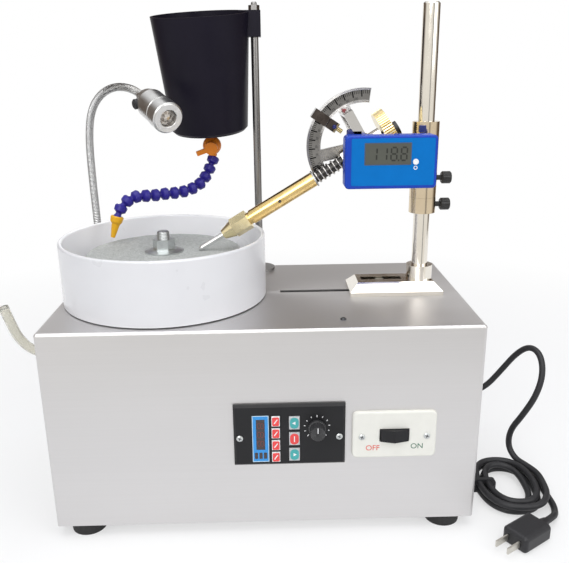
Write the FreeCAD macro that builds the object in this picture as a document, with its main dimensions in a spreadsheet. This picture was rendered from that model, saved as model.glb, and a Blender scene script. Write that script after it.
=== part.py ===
import FreeCAD, Part
import math
import os
from FreeCAD import Placement, Rotation, Vector

# Gem faceting machine: a steel box with a splash pan and a spinning lap, a mast whose head holds
# the dop arm, a drip tank on a rod, a gooseneck lamp and a mains cord. Millimetres, +Z up, +Y to
# the back, origin on the table under the middle of the box.

doc = FreeCAD.newDocument("faceting_machine")
sheet = doc.addObject("Spreadsheet::Sheet", "sizes")
X_AXIS, Y_AXIS, Z_AXIS = Vector(1, 0, 0), Vector(0, 1, 0), Vector(0, 0, 1)
nodes = {}
row_count = 0


class Size:
    """A number of the sheet, or a sum worked out from them, with the expression that says how."""

    def __init__(self, value, text):
        self.value = float(value)
        self.text = text

    def join(self, other, sign, value):
        return Size(value, "(%s %s %s)" % (self.text, sign, as_size(other).text))

    def __add__(self, other):
        return self.join(other, "+", self.value + float(other))

    def __sub__(self, other):
        return self.join(other, "-", self.value - float(other))

    def __mul__(self, other):
        return self.join(other, "*", self.value * float(other))

    def __truediv__(self, other):
        return self.join(other, "/", self.value / float(other))

    def __radd__(self, other):
        return as_size(other) + self

    def __rsub__(self, other):
        return as_size(other) - self

    def __rmul__(self, other):
        return as_size(other) * self

    def __neg__(self):
        return Size(-self.value, "(0 - %s)" % self.text)

    def __float__(self):
        return self.value


def as_size(number):
    if isinstance(number, Size):
        return number
    return Size(number, repr(float(number)))


def size(alias, value):
    """Puts one driving dimension into the sheet."""
    global row_count
    row_count += 1
    cell = "B%d" % row_count
    sheet.set("A%d" % row_count, alias)
    sheet.set(cell, str(value))
    sheet.setAlias(cell, alias)
    return Size(value, "sizes." + alias)


def bind(thing, name, number):
    number = as_size(number)
    if number.text.startswith(("sizes.", "(")):
        thing.setExpression(name, number.text)
    else:
        setattr(thing, name, number.value)


def place(thing, at, turn=None):
    """Sets where a piece sits, and how it is turned: an axis and an angle in degrees."""
    rotation = Rotation()
    if turn:
        rotation = Rotation(turn[0], float(turn[1]))
    thing.Placement = Placement(Vector(*[float(value) for value in at]), rotation)
    for letter, value in zip("xyz", at):
        if isinstance(value, Size):
            thing.setExpression("Placement.Base." + letter, value.text)
    if turn and isinstance(turn[1], Size):
        thing.setExpression("Placement.Rotation.Angle", turn[1].text)
    return thing


def keep(label, thing):
    """Makes a piece one of the sub-parts that are written out."""
    thing.Label = label
    nodes[label] = thing
    return thing


def solid(kind, name, at=(0, 0, 0), turn=None, **sizes):
    """A Part primitive, such as a Box or a Cylinder, with its sizes bound to the sheet."""
    thing = doc.addObject("Part::" + kind, name)
    for prop, number in sizes.items():
        bind(thing, prop, number)
    return place(thing, at, turn)


def block(name, centre, width, depth, height, turn=None):
    """A box that stands on the middle of its lower face."""
    corner = (centre[0] - as_size(width) / 2, centre[1] - as_size(depth) / 2, centre[2])
    return solid("Box", name, corner, turn, Length=width, Width=depth, Height=height)


def rod_x(name, start, radius, length):
    return solid("Cylinder", name, start, (Y_AXIS, 90), Radius=radius, Height=length)


def rod_y(name, start, radius, length):
    return solid("Cylinder", name, start, (X_AXIS, -90), Radius=radius, Height=length)


def rod_z(name, start, radius, length):
    return solid("Cylinder", name, start, Radius=radius, Height=length)


def fuse(name, *things):
    thing = doc.addObject("Part::MultiFuse", name)
    thing.Shapes = list(things)
    return thing


def cut(name, base, *tools):
    thing = doc.addObject("Part::Cut", name)
    thing.Base = base
    thing.Tool = tools[0] if len(tools) == 1 else fuse(name + "_tools", *tools)
    return thing


def group(name, things):
    thing = doc.addObject("Part::Compound", name)
    thing.Links = list(things)
    return thing


def shaped(name, shape):
    """A form that no feature makes, such as a tube along a route."""
    thing = doc.addObject("Part::Feature", name)
    thing.Shape = shape
    return thing


def sketch_outline(body, role, corners):
    """A closed outline of straight lines whose corners are bound to the sheet."""
    sketch = body.newObject("Sketcher::SketchObject", body.Name + "_outline")
    plane = [feature for feature in body.Origin.OriginFeatures if feature.Role == role][0]
    sketch.AttachmentSupport = [(plane, "")]
    sketch.MapMode = "FlatFace"
    points = [Vector(float(x), float(y), 0) for x, y in corners]
    count = len(points)
    for index in range(count):
        sketch.addGeometry(Part.LineSegment(points[index], points[(index + 1) % count]), False)
    import Sketcher
    for index in range(count):
        sketch.addConstraint(Sketcher.Constraint("Coincident", index, 2, (index + 1) % count, 1))
    for index, corner in enumerate(corners):
        for kind, axis, number in (("DistanceX", -2, corner[0]), ("DistanceY", -1, corner[1])):
            number = as_size(number)
            if number.value == 0:
                sketch.addConstraint(Sketcher.Constraint("PointOnObject", index, 1, axis))
                continue
            row = sketch.addConstraint(Sketcher.Constraint(kind, -1, 1, index, 1, number.value))
            bind(sketch, "Constraints[%d]" % row, number) if number.text[0] in "s(" else None
    return sketch


def lathe(name, corners, at=(0, 0, 0), turn=None, sweep=360):
    """A body turned about its own Z axis from an outline of radius and height."""
    body = doc.addObject("PartDesign::Body", name)
    sketch = sketch_outline(body, "XZ_Plane", corners)
    turned = body.newObject("PartDesign::Revolution", name + "_turned")
    turned.Profile = sketch
    turned.ReferenceAxis = (sketch, ["V_Axis"])
    bind(turned, "Angle", sweep)
    return place(body, at, turn)


def plate(name, corners, thickness, at=(0, 0, 0), turn=None):
    """A body of even thickness, padded up from an outline in its own XY plane."""
    body = doc.addObject("PartDesign::Body", name)
    sketch = sketch_outline(body, "XY_Plane", corners)
    pad = body.newObject("PartDesign::Pad", name + "_pad")
    pad.Profile = sketch
    bind(pad, "Length", thickness)
    return place(body, at, turn)


def rectangle(width, height):
    half_width = as_size(width) / 2
    half_height = as_size(height) / 2
    return [(-half_width, -half_height), (half_width, -half_height),
            (half_width, half_height), (-half_width, half_height)]


def dress(body, kind, number, picks):
    """Rounds or bevels the edges of a body that picks says yes to."""
    doc.recompute()
    base = body.Tip
    names = ["Edge%d" % (index + 1) for index, edge in enumerate(base.Shape.Edges) if picks(edge)]
    feature = body.newObject("PartDesign::" + kind, body.Name + "_" + kind)
    feature.Base = (base, names)
    bind(feature, "Radius" if kind == "Fillet" else "Size", number)
    return body


def upright(edge):
    """True for a straight edge along the body's own Z axis."""
    first, last = edge.Vertexes[0].Point, edge.Vertexes[-1].Point
    return abs(first.x - last.x) < 1e-4 and abs(first.y - last.y) < 1e-4 and len(edge.Vertexes) == 2


def ring_at(radius, height):
    """Picks the circle of this radius at this height of a turned body."""
    def picks(edge):
        circle = edge.Curve
        if not isinstance(circle, Part.Circle):
            return False
        return abs(circle.Radius - float(radius)) < 1e-3 and abs(circle.Center.z - float(height)) < 1e-3
    return picks


def flat_at(height):
    """Picks the straight edges that lie at this height of a padded body."""
    def picks(edge):
        ends = [vertex.Point.z for vertex in edge.Vertexes]
        return len(ends) == 2 and all(abs(end - float(height)) < 1e-4 for end in ends)
    return picks


def hexagon(flats):
    """Corners of a hexagon, given its width across the flats."""
    reach = as_size(flats) / math.sqrt(3)
    turns = [math.radians(60 * index) for index in range(6)]
    return [(reach * math.cos(angle), reach * math.sin(angle)) if index % 3 else (reach * math.cos(angle), 0)
            for index, angle in enumerate(turns)]


def nut(name, flats, height, bore, at):
    blank = plate(name + "_blank", hexagon(flats), height, at)
    hole = rod_z(name + "_bore", (at[0], at[1], at[2] - 1), bore, as_size(height) + 2)
    return cut(name, blank, hole)


# Fits that the pieces share
running = size("running_clearance", 0.05)
slide_gap = size("sliding_gap", 0.3)
rest_gap = size("resting_gap", 0.1)

# Casing and feet
casing_width = size("casing_width", 400)
casing_depth = size("casing_depth", 210)
casing_height = size("casing_height", 197)
casing_edge = size("casing_edge_radius", 3)
sheet_wall = size("sheet_thickness", 1.5)
foot_height = size("foot_height", 12)
foot_radius = size("foot_radius", 18)
foot_taper = size("foot_taper", 1.5)
foot_inset_x = size("foot_inset_x", 26)
foot_inset_y = size("foot_inset_y", 18.5)
casing_top = foot_height + casing_height
inner_top = casing_top - sheet_wall

# Working line that the lap and the mast stand on, and the lap's place on it
line_y = size("working_line_y", 3.5)
lap_inset = size("lap_inset", 102)
lap_x = lap_inset - casing_width / 2

# Splash pan
pan_radius = casing_depth / 2 - line_y
pan_height = size("pan_height", 62)
pan_wall = size("pan_wall", 4)
pan_floor = size("pan_floor", 4)
pan_step = size("pan_base_step", 3)
pan_lift = size("pan_base_lift", 1)
pan_hub_radius = size("pan_hub_radius", 22)
pan_hub_height = size("pan_hub_height", 20)
pan_hole = size("pan_hole_radius", 12)
pan_rim_round = size("pan_rim_round", 1.8)

# Lap, its platen and its clamping nut
lap_top = size("lap_height_over_casing", 44.8)
lap_radius = size("lap_radius", 76.2)
lap_thickness = size("lap_thickness", 2)
platen_radius = size("platen_radius", 72)
platen_thickness = size("platen_thickness", 8)
platen_hub = size("platen_hub_radius", 18)
spindle_radius = size("spindle_radius", 8)
stud_radius = size("stud_radius", 6)
stud_above = size("stud_above_lap", 21)
washer_radius = size("washer_radius", 19.5)
washer_thickness = size("washer_thickness", 3)
nut_flats = size("nut_flats", 19)
nut_height = size("nut_height", 10)
lap_z = casing_top + lap_top

# Motor that hangs under the top sheet
motor_radius = size("motor_radius", 48)
motor_height = size("motor_height", 125)
motor_wall = size("motor_wall", 4)
motor_flange = size("motor_flange_radius", 62)
motor_flange_thickness = size("motor_flange_thickness", 5)
bearing_radius = size("bearing_radius", 16)
bearing_width = size("bearing_width", 9)
rotor_radius = size("rotor_radius", 30)
rotor_length = size("rotor_length", 60)

# Control panel, its keys and its knob
panel_width = size("panel_width", 102.5)
panel_height = size("panel_height", 61.5)
panel_thickness = size("panel_thickness", 4)
panel_bevel = size("panel_bevel", 2)
panel_x = size("panel_x", 23.2)
panel_z = size("panel_z", 106.7)
display_width = size("display_width", 15.2)
display_height = size("display_height", 47.5)
display_depth = size("display_depth", 0.8)
display_x = size("display_x", -3.4)
display_z = size("display_z", 103.6)
small_key_width = size("small_key_width", 7.6)
small_key_height = size("small_key_height", 10)
small_key_pitch = size("small_key_pitch", 12.2)
small_key_x = size("small_key_x", 10.6)
large_key_width = size("large_key_width", 9.8)
large_key_height = size("large_key_height", 13)
large_key_pitch = size("large_key_pitch", 16.2)
large_key_x = size("large_key_x", 27.6)
key_proud = size("key_proud", 1.2)
key_travel = size("key_travel", 0.6)
key_round = size("key_round", 0.6)
controller_depth = size("controller_depth", 60)
knob_radius = size("knob_radius", 8)
knob_length = size("knob_length", 13)
knob_gap = size("knob_gap", 0.5)
knob_shaft = size("knob_shaft_radius", 3)
knob_x = size("knob_x", 48.3)
knob_z = size("knob_z", 114.6)

# Mains switch
switch_width = size("switch_plate_width", 78)
switch_height = size("switch_plate_height", 47)
switch_thickness = size("switch_plate_thickness", 3.5)
switch_corner = size("switch_plate_corner", 5)
switch_x = size("switch_x", 119.8)
switch_z = size("switch_z", 104.5)
rocker_width = size("rocker_width", 26)
rocker_height = size("rocker_height", 12)
rocker_ridge = size("rocker_ridge", 5)
rocker_end = size("rocker_end", 1.5)
rocker_depth = size("rocker_depth", 4)
rocker_gap = size("rocker_gap", 0.8)
switch_depth = size("switch_housing_depth", 22)
switch_wall = size("switch_housing_wall", 2)
screw_radius = size("screw_head_radius", 3)
screw_head = size("screw_head_height", 1.2)
screw_shank = size("screw_shank_radius", 1.5)
screw_length = size("screw_length", 8)
panel_screw_reach = size("panel_screw_reach", 45.7)
switch_screw_reach = size("switch_screw_reach", 30)

# Mast, foot and clamp bolt
mast_x = size("mast_x", 160.5)
mast_radius = size("mast_radius", 8)
mast_top = size("mast_top", 484.5)
mast_chamfer = size("mast_chamfer", 1.5)
foot_plate_x = size("mast_foot_x", 134.5)
foot_plate_length = size("mast_foot_length", 93)
foot_plate_depth = size("mast_foot_depth", 46)
foot_plate_inset = size("mast_foot_inset", 8.5)
foot_plate_height = size("mast_foot_height", 12.5)
socket_radius = size("socket_radius", 13)
socket_top = size("socket_height", 27)
foot_slot_x = size("foot_slot_x", 121.5)
foot_slot_length = size("foot_slot_length", 41)
foot_slot_width = size("foot_slot_width", 9)
casing_slot_start = size("casing_slot_start", 18)
casing_slot_end = size("casing_slot_end", 146)
casing_slot_width = size("casing_slot_width", 7)
bolt_radius = size("clamp_bolt_radius", 3)
bolt_x = size("clamp_bolt_x", 121.5)
bolt_head = size("clamp_bolt_head", 4)
bolt_washer = size("clamp_washer_radius", 9)
bolt_below = size("clamp_stack_height", 6)

# Stop collar and head on the mast
collar_bottom = size("collar_bottom", 290)
collar_height = size("collar_height", 15.3)
sleeve_radius = size("sleeve_radius", 13)
sleeve_length = size("sleeve_length", 72.7)
screw_z = size("thumbscrew_drop", 18.5)
thumb_radius = size("thumbscrew_radius", 6)
thumb_length = size("thumbscrew_head_length", 9.5)
thumb_neck = size("thumbscrew_neck_length", 4.5)
thumb_shank = size("thumbscrew_shank_radius", 2.5)
collar_top = collar_bottom + collar_height
sleeve_bottom = collar_top + rest_gap
sleeve_top = sleeve_bottom + sleeve_length

# Arm: where it pivots, and its stations along its own axis, counted from the pivot to the dop
pivot_x = size("pivot_x", 102)
pivot_z = size("pivot_z", 353.8)
arm_drop = size("arm_drop_angle", 30.9)
yoke_front = size("yoke_front", 24)
yoke_back = size("yoke_back", 19.5)
yoke_radius = size("yoke_radius", 10)
quill_radius = size("quill_radius", 5)
trunnion_radius = size("trunnion_radius", 5)
thrust_thickness = size("thrust_washer_thickness", 1.5)
barrel_start = size("barrel_start", 57.5)
barrel_length = size("barrel_length", 72)
barrel_radius = size("barrel_radius", 7.3)
barrel_hole = size("barrel_hole_radius", 1.6)
barrel_hole_at = size("barrel_hole_station", 97)
chuck_neck = size("chuck_neck_length", 3.5)
chuck_flats = size("chuck_flats", 17.5)
chuck_hex = size("chuck_hex_length", 18)
chuck_taper = size("chuck_taper_length", 12)
chuck_nose = size("chuck_nose_radius", 5)
dop_radius = size("dop_radius", 2.75)
dop_above = size("dop_above_lap", 0.3)
spring_radius = size("spring_radius", 6)
spring_wire = size("spring_wire_radius", 0.85)
spring_turns = size("spring_turns", 6)
wheel_start = size("index_wheel_start", 21)
wheel_width = size("index_wheel_width", 10)
wheel_radius = size("index_wheel_radius", 24.5)
wheel_teeth = size("index_wheel_teeth", 64)
tooth_depth = size("index_tooth_depth", 1.6)
end_knob_radius = size("end_knob_radius", 7)
end_knob_length = size("end_knob_length", 6)
arm_turn = -(90 + arm_drop)

# Protractor behind the arm, the stop on it and the pointer of the head
ring_inner = size("protractor_inner", 42)
ring_outer = size("protractor_outer", 55.8)
ring_gap = size("protractor_gap", 12)
ring_width = size("protractor_width", 6)
ring_rim = size("protractor_rim", 2)
ring_start = size("protractor_start_angle", 83)
ring_end = size("protractor_end_angle", 212)
hub_radius = size("protractor_hub_radius", 13)
hub_width = size("protractor_hub_width", 4)
spoke_width = size("protractor_spoke_width", 12)
stop_angle = size("stop_angle", 146)
stop_width = size("stop_width", 10)
stop_reach = size("stop_reach", 3.5)
stop_tail = size("stop_tail", 11)
pointer_angle = size("pointer_angle", 120)
pointer_reach = size("pointer_reach", 40.5)
pointer_width = size("pointer_width", 9)

# Angle gauge in front of the arm and the bracket that carries it
bracket_front = size("bracket_front", 31.5)
bracket_thickness = size("bracket_thickness", 5)
bracket_left = size("bracket_left", 84)
bracket_bottom = size("bracket_bottom", 341)
bracket_top = size("bracket_top", 365)
boss_left = size("boss_left", 150)
boss_right = size("boss_right", 163)
gauge_left = size("gauge_left", 77.5)
gauge_width = size("gauge_width", 84)
gauge_height = size("gauge_height", 48)
gauge_bottom = size("gauge_bottom", 321.5)
gauge_thickness = size("gauge_thickness", 18)
gauge_corner = size("gauge_corner", 4)
gauge_edge = size("gauge_edge", 2)
gauge_button_x = size("gauge_button_x", 141.5)
gauge_button_z = size("gauge_button_z", 346)
gauge_button_radius = size("gauge_button_radius", 2.6)
gauge_button_proud = size("gauge_button_proud", 1.2)
gauge_button_depth = size("gauge_button_depth", 4)

# Tank rod and drip tank
rod_x_place = size("tank_rod_x", -3.6)
rod_inset_y = size("tank_rod_inset_y", 15)
rod_y_place = casing_depth / 2 - rod_inset_y
rod_radius = size("tank_rod_radius", 4)
rod_flange_radius = size("tank_rod_flange_radius", 17)
rod_flange_height = size("tank_rod_flange_height", 2.5)
rod_thread = size("tank_rod_thread_radius", 3)
rod_top = size("tank_rod_top", 494)
ear_bottom = size("tank_ear_bottom", 459.8)
ear_height = size("tank_ear_height", 25.8)
ear_half_width = size("tank_ear_half_width", 6.6)
ear_depth = size("tank_ear_depth", 16)
tank_rim_radius = size("tank_rim_radius", 51)
tank_base_radius = size("tank_base_radius", 41.5)
tank_height = size("tank_height", 120)
tank_wall = size("tank_wall", 2.5)
tank_floor = size("tank_floor", 3)
tank_centre_x = size("tank_rim_x", -59.6)
tank_rim_z = size("tank_rim_z", 483)
tank_lean = size("tank_lean_forward", 8)
tank_tilt = size("tank_tilt_sideways", 2.3)
rod_nut_flats = size("rod_nut_flats", 10)
rod_nut_height = size("rod_nut_height", 5)
lock_nut_flats = size("rod_lock_nut_flats", 13)
lock_nut_height = size("rod_lock_nut_height", 6.5)

# Valve, jointed hose and nozzle
valve_neck_radius = size("valve_neck_radius", 6.5)
valve_waist_radius = size("valve_waist_radius", 4.6)
valve_ball_radius = size("valve_ball_radius", 10.3)
valve_ball_drop = size("valve_ball_drop", 17)
valve_boss_radius = size("valve_boss_radius", 7)
valve_boss_length = size("valve_boss_length", 11.5)
lever_hub_radius = size("lever_hub_radius", 7)
lever_thickness = size("lever_thickness", 4)
lever_reach = size("lever_reach", 17)
lever_width = size("lever_width", 5)
bead_pitch = size("bead_pitch", 10.9)
bead_bell = size("bead_bell_radius", 6.8)
bead_neck = size("bead_neck_radius", 3.2)
bead_ball = size("bead_ball_radius", 4.2)
nozzle_length = size("nozzle_length", 22)
nozzle_tip = size("nozzle_tip_radius", 2.2)

# Lamp
lamp_inset_x = size("lamp_inset_x", 17)
lamp_x = lamp_inset_x - casing_width / 2
lamp_inset_y = size("lamp_inset_y", 20)
lamp_y = casing_depth / 2 - lamp_inset_y
lamp_base_radius = size("lamp_base_radius", 11)
lamp_base_height = size("lamp_base_height", 18)
neck_radius = size("gooseneck_radius", 4.1)
lamp_radius = size("lamp_head_radius", 15.5)
lamp_length = size("lamp_head_length", 62)
lamp_collar = size("lamp_collar_radius", 5.4)
lamp_recess = size("lamp_recess_radius", 8.5)
lamp_recess_depth = size("lamp_recess_depth", 6)
lamp_switch_station = size("lamp_switch_station", 19)
lamp_switch_radius = size("lamp_switch_radius", 5)
lamp_switch_travel = size("lamp_switch_travel", 0.8)

# Mains cord, hank and plug
cord_radius = size("cord_radius", 3.3)
gland_y = size("gland_y", 45)
gland_z = size("gland_z", 68)
gland_length = size("gland_length", 26)
gland_radius = size("gland_radius", 7)
gland_flange = size("gland_flange_radius", 10)
gland_flange_thickness = size("gland_flange_thickness", 3)
gland_tip = size("gland_tip_radius", 5)
hank_x = size("hank_x", 254)
hank_y = size("hank_y", -48)
hank_half_length = size("hank_half_length", 48)
hank_half_width = size("hank_half_width", 36)
hank_step = size("hank_step", 9.2)
hank_rise = size("hank_layer_rise", 7.8)
hank_turns = size("hank_turns", 4)
plug_length = size("plug_length", 36)
plug_width = size("plug_width", 27)
plug_height = size("plug_height", 17)
plug_round = size("plug_round", 4)
pin_length = size("plug_pin_length", 17)
pin_width = size("plug_pin_width", 6.3)
pin_thickness = size("plug_pin_thickness", 1.6)
pin_spread = size("plug_pin_spread", 12.7)

# Drain
drain_reach = size("drain_reach", 72)
drain_x = lap_x - drain_reach
drain_y = size("drain_y", -31)
drain_z = size("drain_z", 160)
drain_radius = size("drain_pipe_radius", 5.5)
drain_bore = size("drain_bore_radius", 3.2)
drain_bend = size("drain_bend_radius", 15)
drain_collar = size("drain_collar_radius", 9)
drain_collar_thickness = size("drain_collar_thickness", 2)
barb_radius = size("drain_barb_radius", 3.5)
barb_length = size("drain_barb_length", 12)
hose_radius = size("drain_hose_radius", 4.75)


def turned_to(direction, first=None):
    """A rotation that points a piece's own Z axis along a direction."""
    return Rotation(Z_AXIS, Vector(*direction))


def pose(thing, at, rotation):
    """Sets a place and a rotation that come from worked-out points."""
    thing.Placement = Placement(Vector(*[float(value) for value in at]), rotation)
    return thing


def route_wire(label, points, share=0.45):
    """Straight runs joined by tangent arcs, and the least arc radius printed."""
    points = [Vector(*point) for point in points]
    edges = []
    radii = []
    start = points[0]
    for before, corner, after in zip(points, points[1:], points[2:]):
        into = corner - before
        out = after - corner
        reach = share * min(into.Length, out.Length)
        into.normalize()
        out.normalize()
        radius = reach / math.tan(into.getAngle(out) / 2)
        inward = (out - into).normalize()
        first = corner - into * reach
        last = corner + out * reach
        middle = corner + inward * (math.hypot(radius, reach) - radius)
        edges.append(Part.LineSegment(start, first).toShape())
        edges.append(Part.Arc(first, middle, last).toShape())
        radii.append(radius)
        start = last
    edges.append(Part.LineSegment(start, points[-1]).toShape())
    print(label, "least bend radius", round(min(radii), 1))
    return Part.Wire(edges)


def tube(label, wire, radius):
    """A round tube along a wire, with its volume printed against section times length."""
    first = wire.OrderedEdges[0]
    start = first.valueAt(first.FirstParameter)
    heading = first.tangentAt(first.FirstParameter)
    section = Part.Wire([Part.Circle(start, heading, float(radius)).toShape()])
    shell = Part.BRepOffsetAPI.MakePipeShell(wire)
    shell.add(section)
    shell.build()
    shell.makeSolid()
    shape = shell.shape()
    ratio = shape.Volume / (math.pi * float(radius) ** 2 * wire.Length)
    print(label, "length", round(wire.Length, 1), "volume ratio", round(ratio, 4))
    return shape


def biarc(start, heading, end, leaving):
    """Two tangent arcs from one point and heading to another."""
    across = end - start
    both = heading + leaving
    open_share = 2 * (1 - heading.dot(leaving))
    along = across.dot(both)
    reach = (-along + math.sqrt(along * along + open_share * across.dot(across))) / open_share
    first_corner = start + heading * reach
    last_corner = end - leaving * reach
    joint = (first_corner + last_corner) * 0.5
    arcs = []
    for first, corner, last in ((start, first_corner, joint), (joint, last_corner, end)):
        into = (corner - first).normalize()
        out = (last - corner).normalize()
        half_turn = into.getAngle(out) / 2
        radius = reach / math.tan(half_turn)
        inward = (out - into).normalize()
        middle = corner + inward * (math.hypot(radius, reach) - radius)
        arcs.append(Part.Arc(first, middle, last).toShape())
    return arcs


def least_gap(points, diameter, skip):
    """Least free gap of a tube to itself, measured between points along its middle line."""
    least = 1e9
    for index, point in enumerate(points):
        for other in points[index + skip:]:
            least = min(least, point.distanceToPoint(other))
    return least - diameter


def casing_point(x, z):
    """A point on the front face of the casing."""
    return (x, -casing_depth / 2, z)


FRONT = (X_AXIS, 90)
RIGHT = (Y_AXIS, 90)

# Casing: a folded sheet box, open below, with its windows and holes
casing_blank = plate("casing_blank", rectangle(casing_width, casing_depth), casing_height,
                     (0, 0, foot_height))
dress(casing_blank, "Fillet", casing_edge,
      lambda edge: upright(edge) or flat_at(casing_height)(edge))
casing_room = block("casing_room", (0, 0, foot_height - 1), casing_width - 2 * sheet_wall,
                    casing_depth - 2 * sheet_wall, casing_height - sheet_wall + 1)
spindle_hole = rod_z("spindle_hole", (lap_x, line_y, inner_top - 1), pan_hole + 2, sheet_wall + 2)
drain_hole = rod_z("drain_hole", (drain_x, drain_y, inner_top - 1), drain_radius, sheet_wall + 2)
lamp_hole = rod_z("lamp_hole", (lamp_x, lamp_y, inner_top - 1), lamp_base_radius - 3, sheet_wall + 2)
rod_hole = rod_z("tank_rod_hole", (rod_x_place, rod_y_place, inner_top - 1), rod_thread, sheet_wall + 2)
drain_side_hole = rod_x("drain_side_hole", (-casing_width / 2 - 2, drain_y, drain_z), drain_radius, 6)
gland_hole = rod_x("gland_hole", (casing_width / 2 - 4, gland_y, gland_z), gland_radius, 8)
slot_length = casing_slot_end - casing_slot_start
mast_slot = block("mast_slot", ((casing_slot_start + casing_slot_end) / 2, line_y, inner_top - 1),
                  slot_length, casing_slot_width, sheet_wall + 2)
panel_window = block("panel_window", (panel_x, -casing_depth / 2, panel_z - panel_height / 2 + 2.5),
                     panel_width - 20, 10, panel_height - 5)
housing_width = rocker_width + 2 * (rocker_gap + switch_wall)
housing_height = rocker_height + 2 * (rocker_gap + switch_wall)
switch_window = block("switch_window", (switch_x, -casing_depth / 2, switch_z - housing_height / 2),
                      housing_width, 10, housing_height)
screw_places = [(panel_x - panel_screw_reach, panel_z - 2, panel_thickness),
                (panel_x + panel_screw_reach, panel_z - 2, panel_thickness),
                (switch_x - switch_screw_reach, switch_z - 1.5, switch_thickness),
                (switch_x + switch_screw_reach, switch_z - 1.5, switch_thickness)]
screw_holes = []
for index, (x, z, thickness) in enumerate(screw_places):
    start = (x, -casing_depth / 2 - 8, z)
    screw_holes.append(rod_y("screw_hole_%d" % index, start, screw_shank, 14))
keep("casing_shell", cut("casing_shell", casing_blank, casing_room, spindle_hole, drain_hole, lamp_hole,
                         rod_hole, drain_side_hole, gland_hole, mast_slot, panel_window, switch_window,
                         group("screw_hole_group", screw_holes)))

# Base plate inside the walls, and four tapered rubber feet under it
keep("base_plate", block("base_plate", (0, 0, foot_height), casing_width - 2 * sheet_wall,
                         casing_depth - 2 * sheet_wall, sheet_wall * 2))
feet = []
for side in (-1, 1):
    for end in (-1, 1):
        at = (side * (casing_width / 2 - foot_inset_x), end * (casing_depth / 2 - foot_inset_y), 0)
        feet.append(solid("Cone", "rubber_foot", at, Radius1=foot_radius - foot_taper, Radius2=foot_radius,
                          Height=foot_height))
keep("rubber_feet", group("rubber_feet", feet))

# Splash pan with a hub round the spindle and a drain hole in its floor
pan_inner = pan_radius - pan_wall
pan_body = lathe("pan_turned", [
    (pan_hole, 0), (pan_radius - pan_step, 0), (pan_radius - pan_step, pan_lift), (pan_radius, pan_lift),
    (pan_radius, pan_height), (pan_inner, pan_height), (pan_inner, pan_floor), (pan_hub_radius, pan_floor),
    (pan_hub_radius, pan_hub_height), (pan_hole, pan_hub_height)], (lap_x, line_y, casing_top))
dress(pan_body, "Fillet", pan_rim_round,
      lambda edge: ring_at(pan_radius, pan_height)(edge) or ring_at(pan_inner, pan_height)(edge)
      or ring_at(pan_inner, pan_floor)(edge))
pan_drain = rod_z("pan_drain", (drain_x, drain_y, casing_top - 1), drain_radius, pan_floor + 2)
keep("splash_pan", cut("splash_pan", pan_body, pan_drain))

# Motor housing with its flange under the top sheet, and two bearings in it
end_wall = bearing_width + 3
room_radius = motor_radius - motor_wall
keep("motor_housing", lathe("motor_housing", [
    (pan_hole, 0), (motor_flange, 0), (motor_flange, -motor_flange_thickness),
    (motor_radius, -motor_flange_thickness), (motor_radius, -motor_height), (pan_hole, -motor_height),
    (pan_hole, 3 - motor_height), (bearing_radius, 3 - motor_height),
    (bearing_radius, end_wall - motor_height), (room_radius, end_wall - motor_height),
    (room_radius, -end_wall), (bearing_radius, -end_wall), (bearing_radius, Size(-3, "(0 - 3)")),
    (pan_hole, Size(-3, "(0 - 3)"))], (lap_x, line_y, inner_top)))
bearings = []
for height in (inner_top - 3 - bearing_width, inner_top - motor_height + 3):
    bearings.append(lathe("bearing", [
        (spindle_radius + running, 0), (bearing_radius, 0), (bearing_radius, bearing_width),
        (spindle_radius + running, bearing_width)], (lap_x, line_y, height)))
keep("spindle_bearings", group("spindle_bearings", bearings))

# Spindle with the rotor core on it and a threaded stud at its top
platen_top = lap_z - lap_thickness
platen_bottom = platen_top - platen_thickness
shoulder = platen_top - 2
rotor_middle = inner_top - motor_height / 2
keep("spindle", lathe("spindle", [
    (0, inner_top - motor_height + 1), (spindle_radius, inner_top - motor_height + 1),
    (spindle_radius, rotor_middle - rotor_length / 2), (rotor_radius, rotor_middle - rotor_length / 2),
    (rotor_radius, rotor_middle + rotor_length / 2), (spindle_radius, rotor_middle + rotor_length / 2),
    (spindle_radius, shoulder), (stud_radius, shoulder), (stud_radius, lap_z + stud_above - 1),
    (stud_radius - 1, lap_z + stud_above), (0, lap_z + stud_above)], (lap_x, line_y, 0)))

# Platen, lap, stepped washer and nut on the stud
hub_bottom = casing_top + pan_hub_height + 2
keep("lap_platen", lathe("lap_platen", [
    (spindle_radius, hub_bottom), (platen_hub, hub_bottom), (platen_hub, platen_bottom),
    (platen_radius, platen_bottom), (platen_radius, platen_top), (stud_radius, platen_top),
    (stud_radius, shoulder), (spindle_radius, shoulder)], (lap_x, line_y, 0)))
keep("lap_disc", lathe("lap_disc", [
    (stud_radius, 0), (lap_radius, 0), (lap_radius, lap_thickness), (stud_radius, lap_thickness)],
    (lap_x, line_y, platen_top)))
keep("lap_washer", lathe("lap_washer", [
    (stud_radius, 0), (washer_radius, 0), (washer_radius, washer_thickness / 2),
    (washer_radius - 6, washer_thickness), (stud_radius, washer_thickness)], (lap_x, line_y, lap_z)))
keep("lap_nut", nut("lap_nut", nut_flats, nut_height, stud_radius, (lap_x, line_y, lap_z + washer_thickness)))

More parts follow.
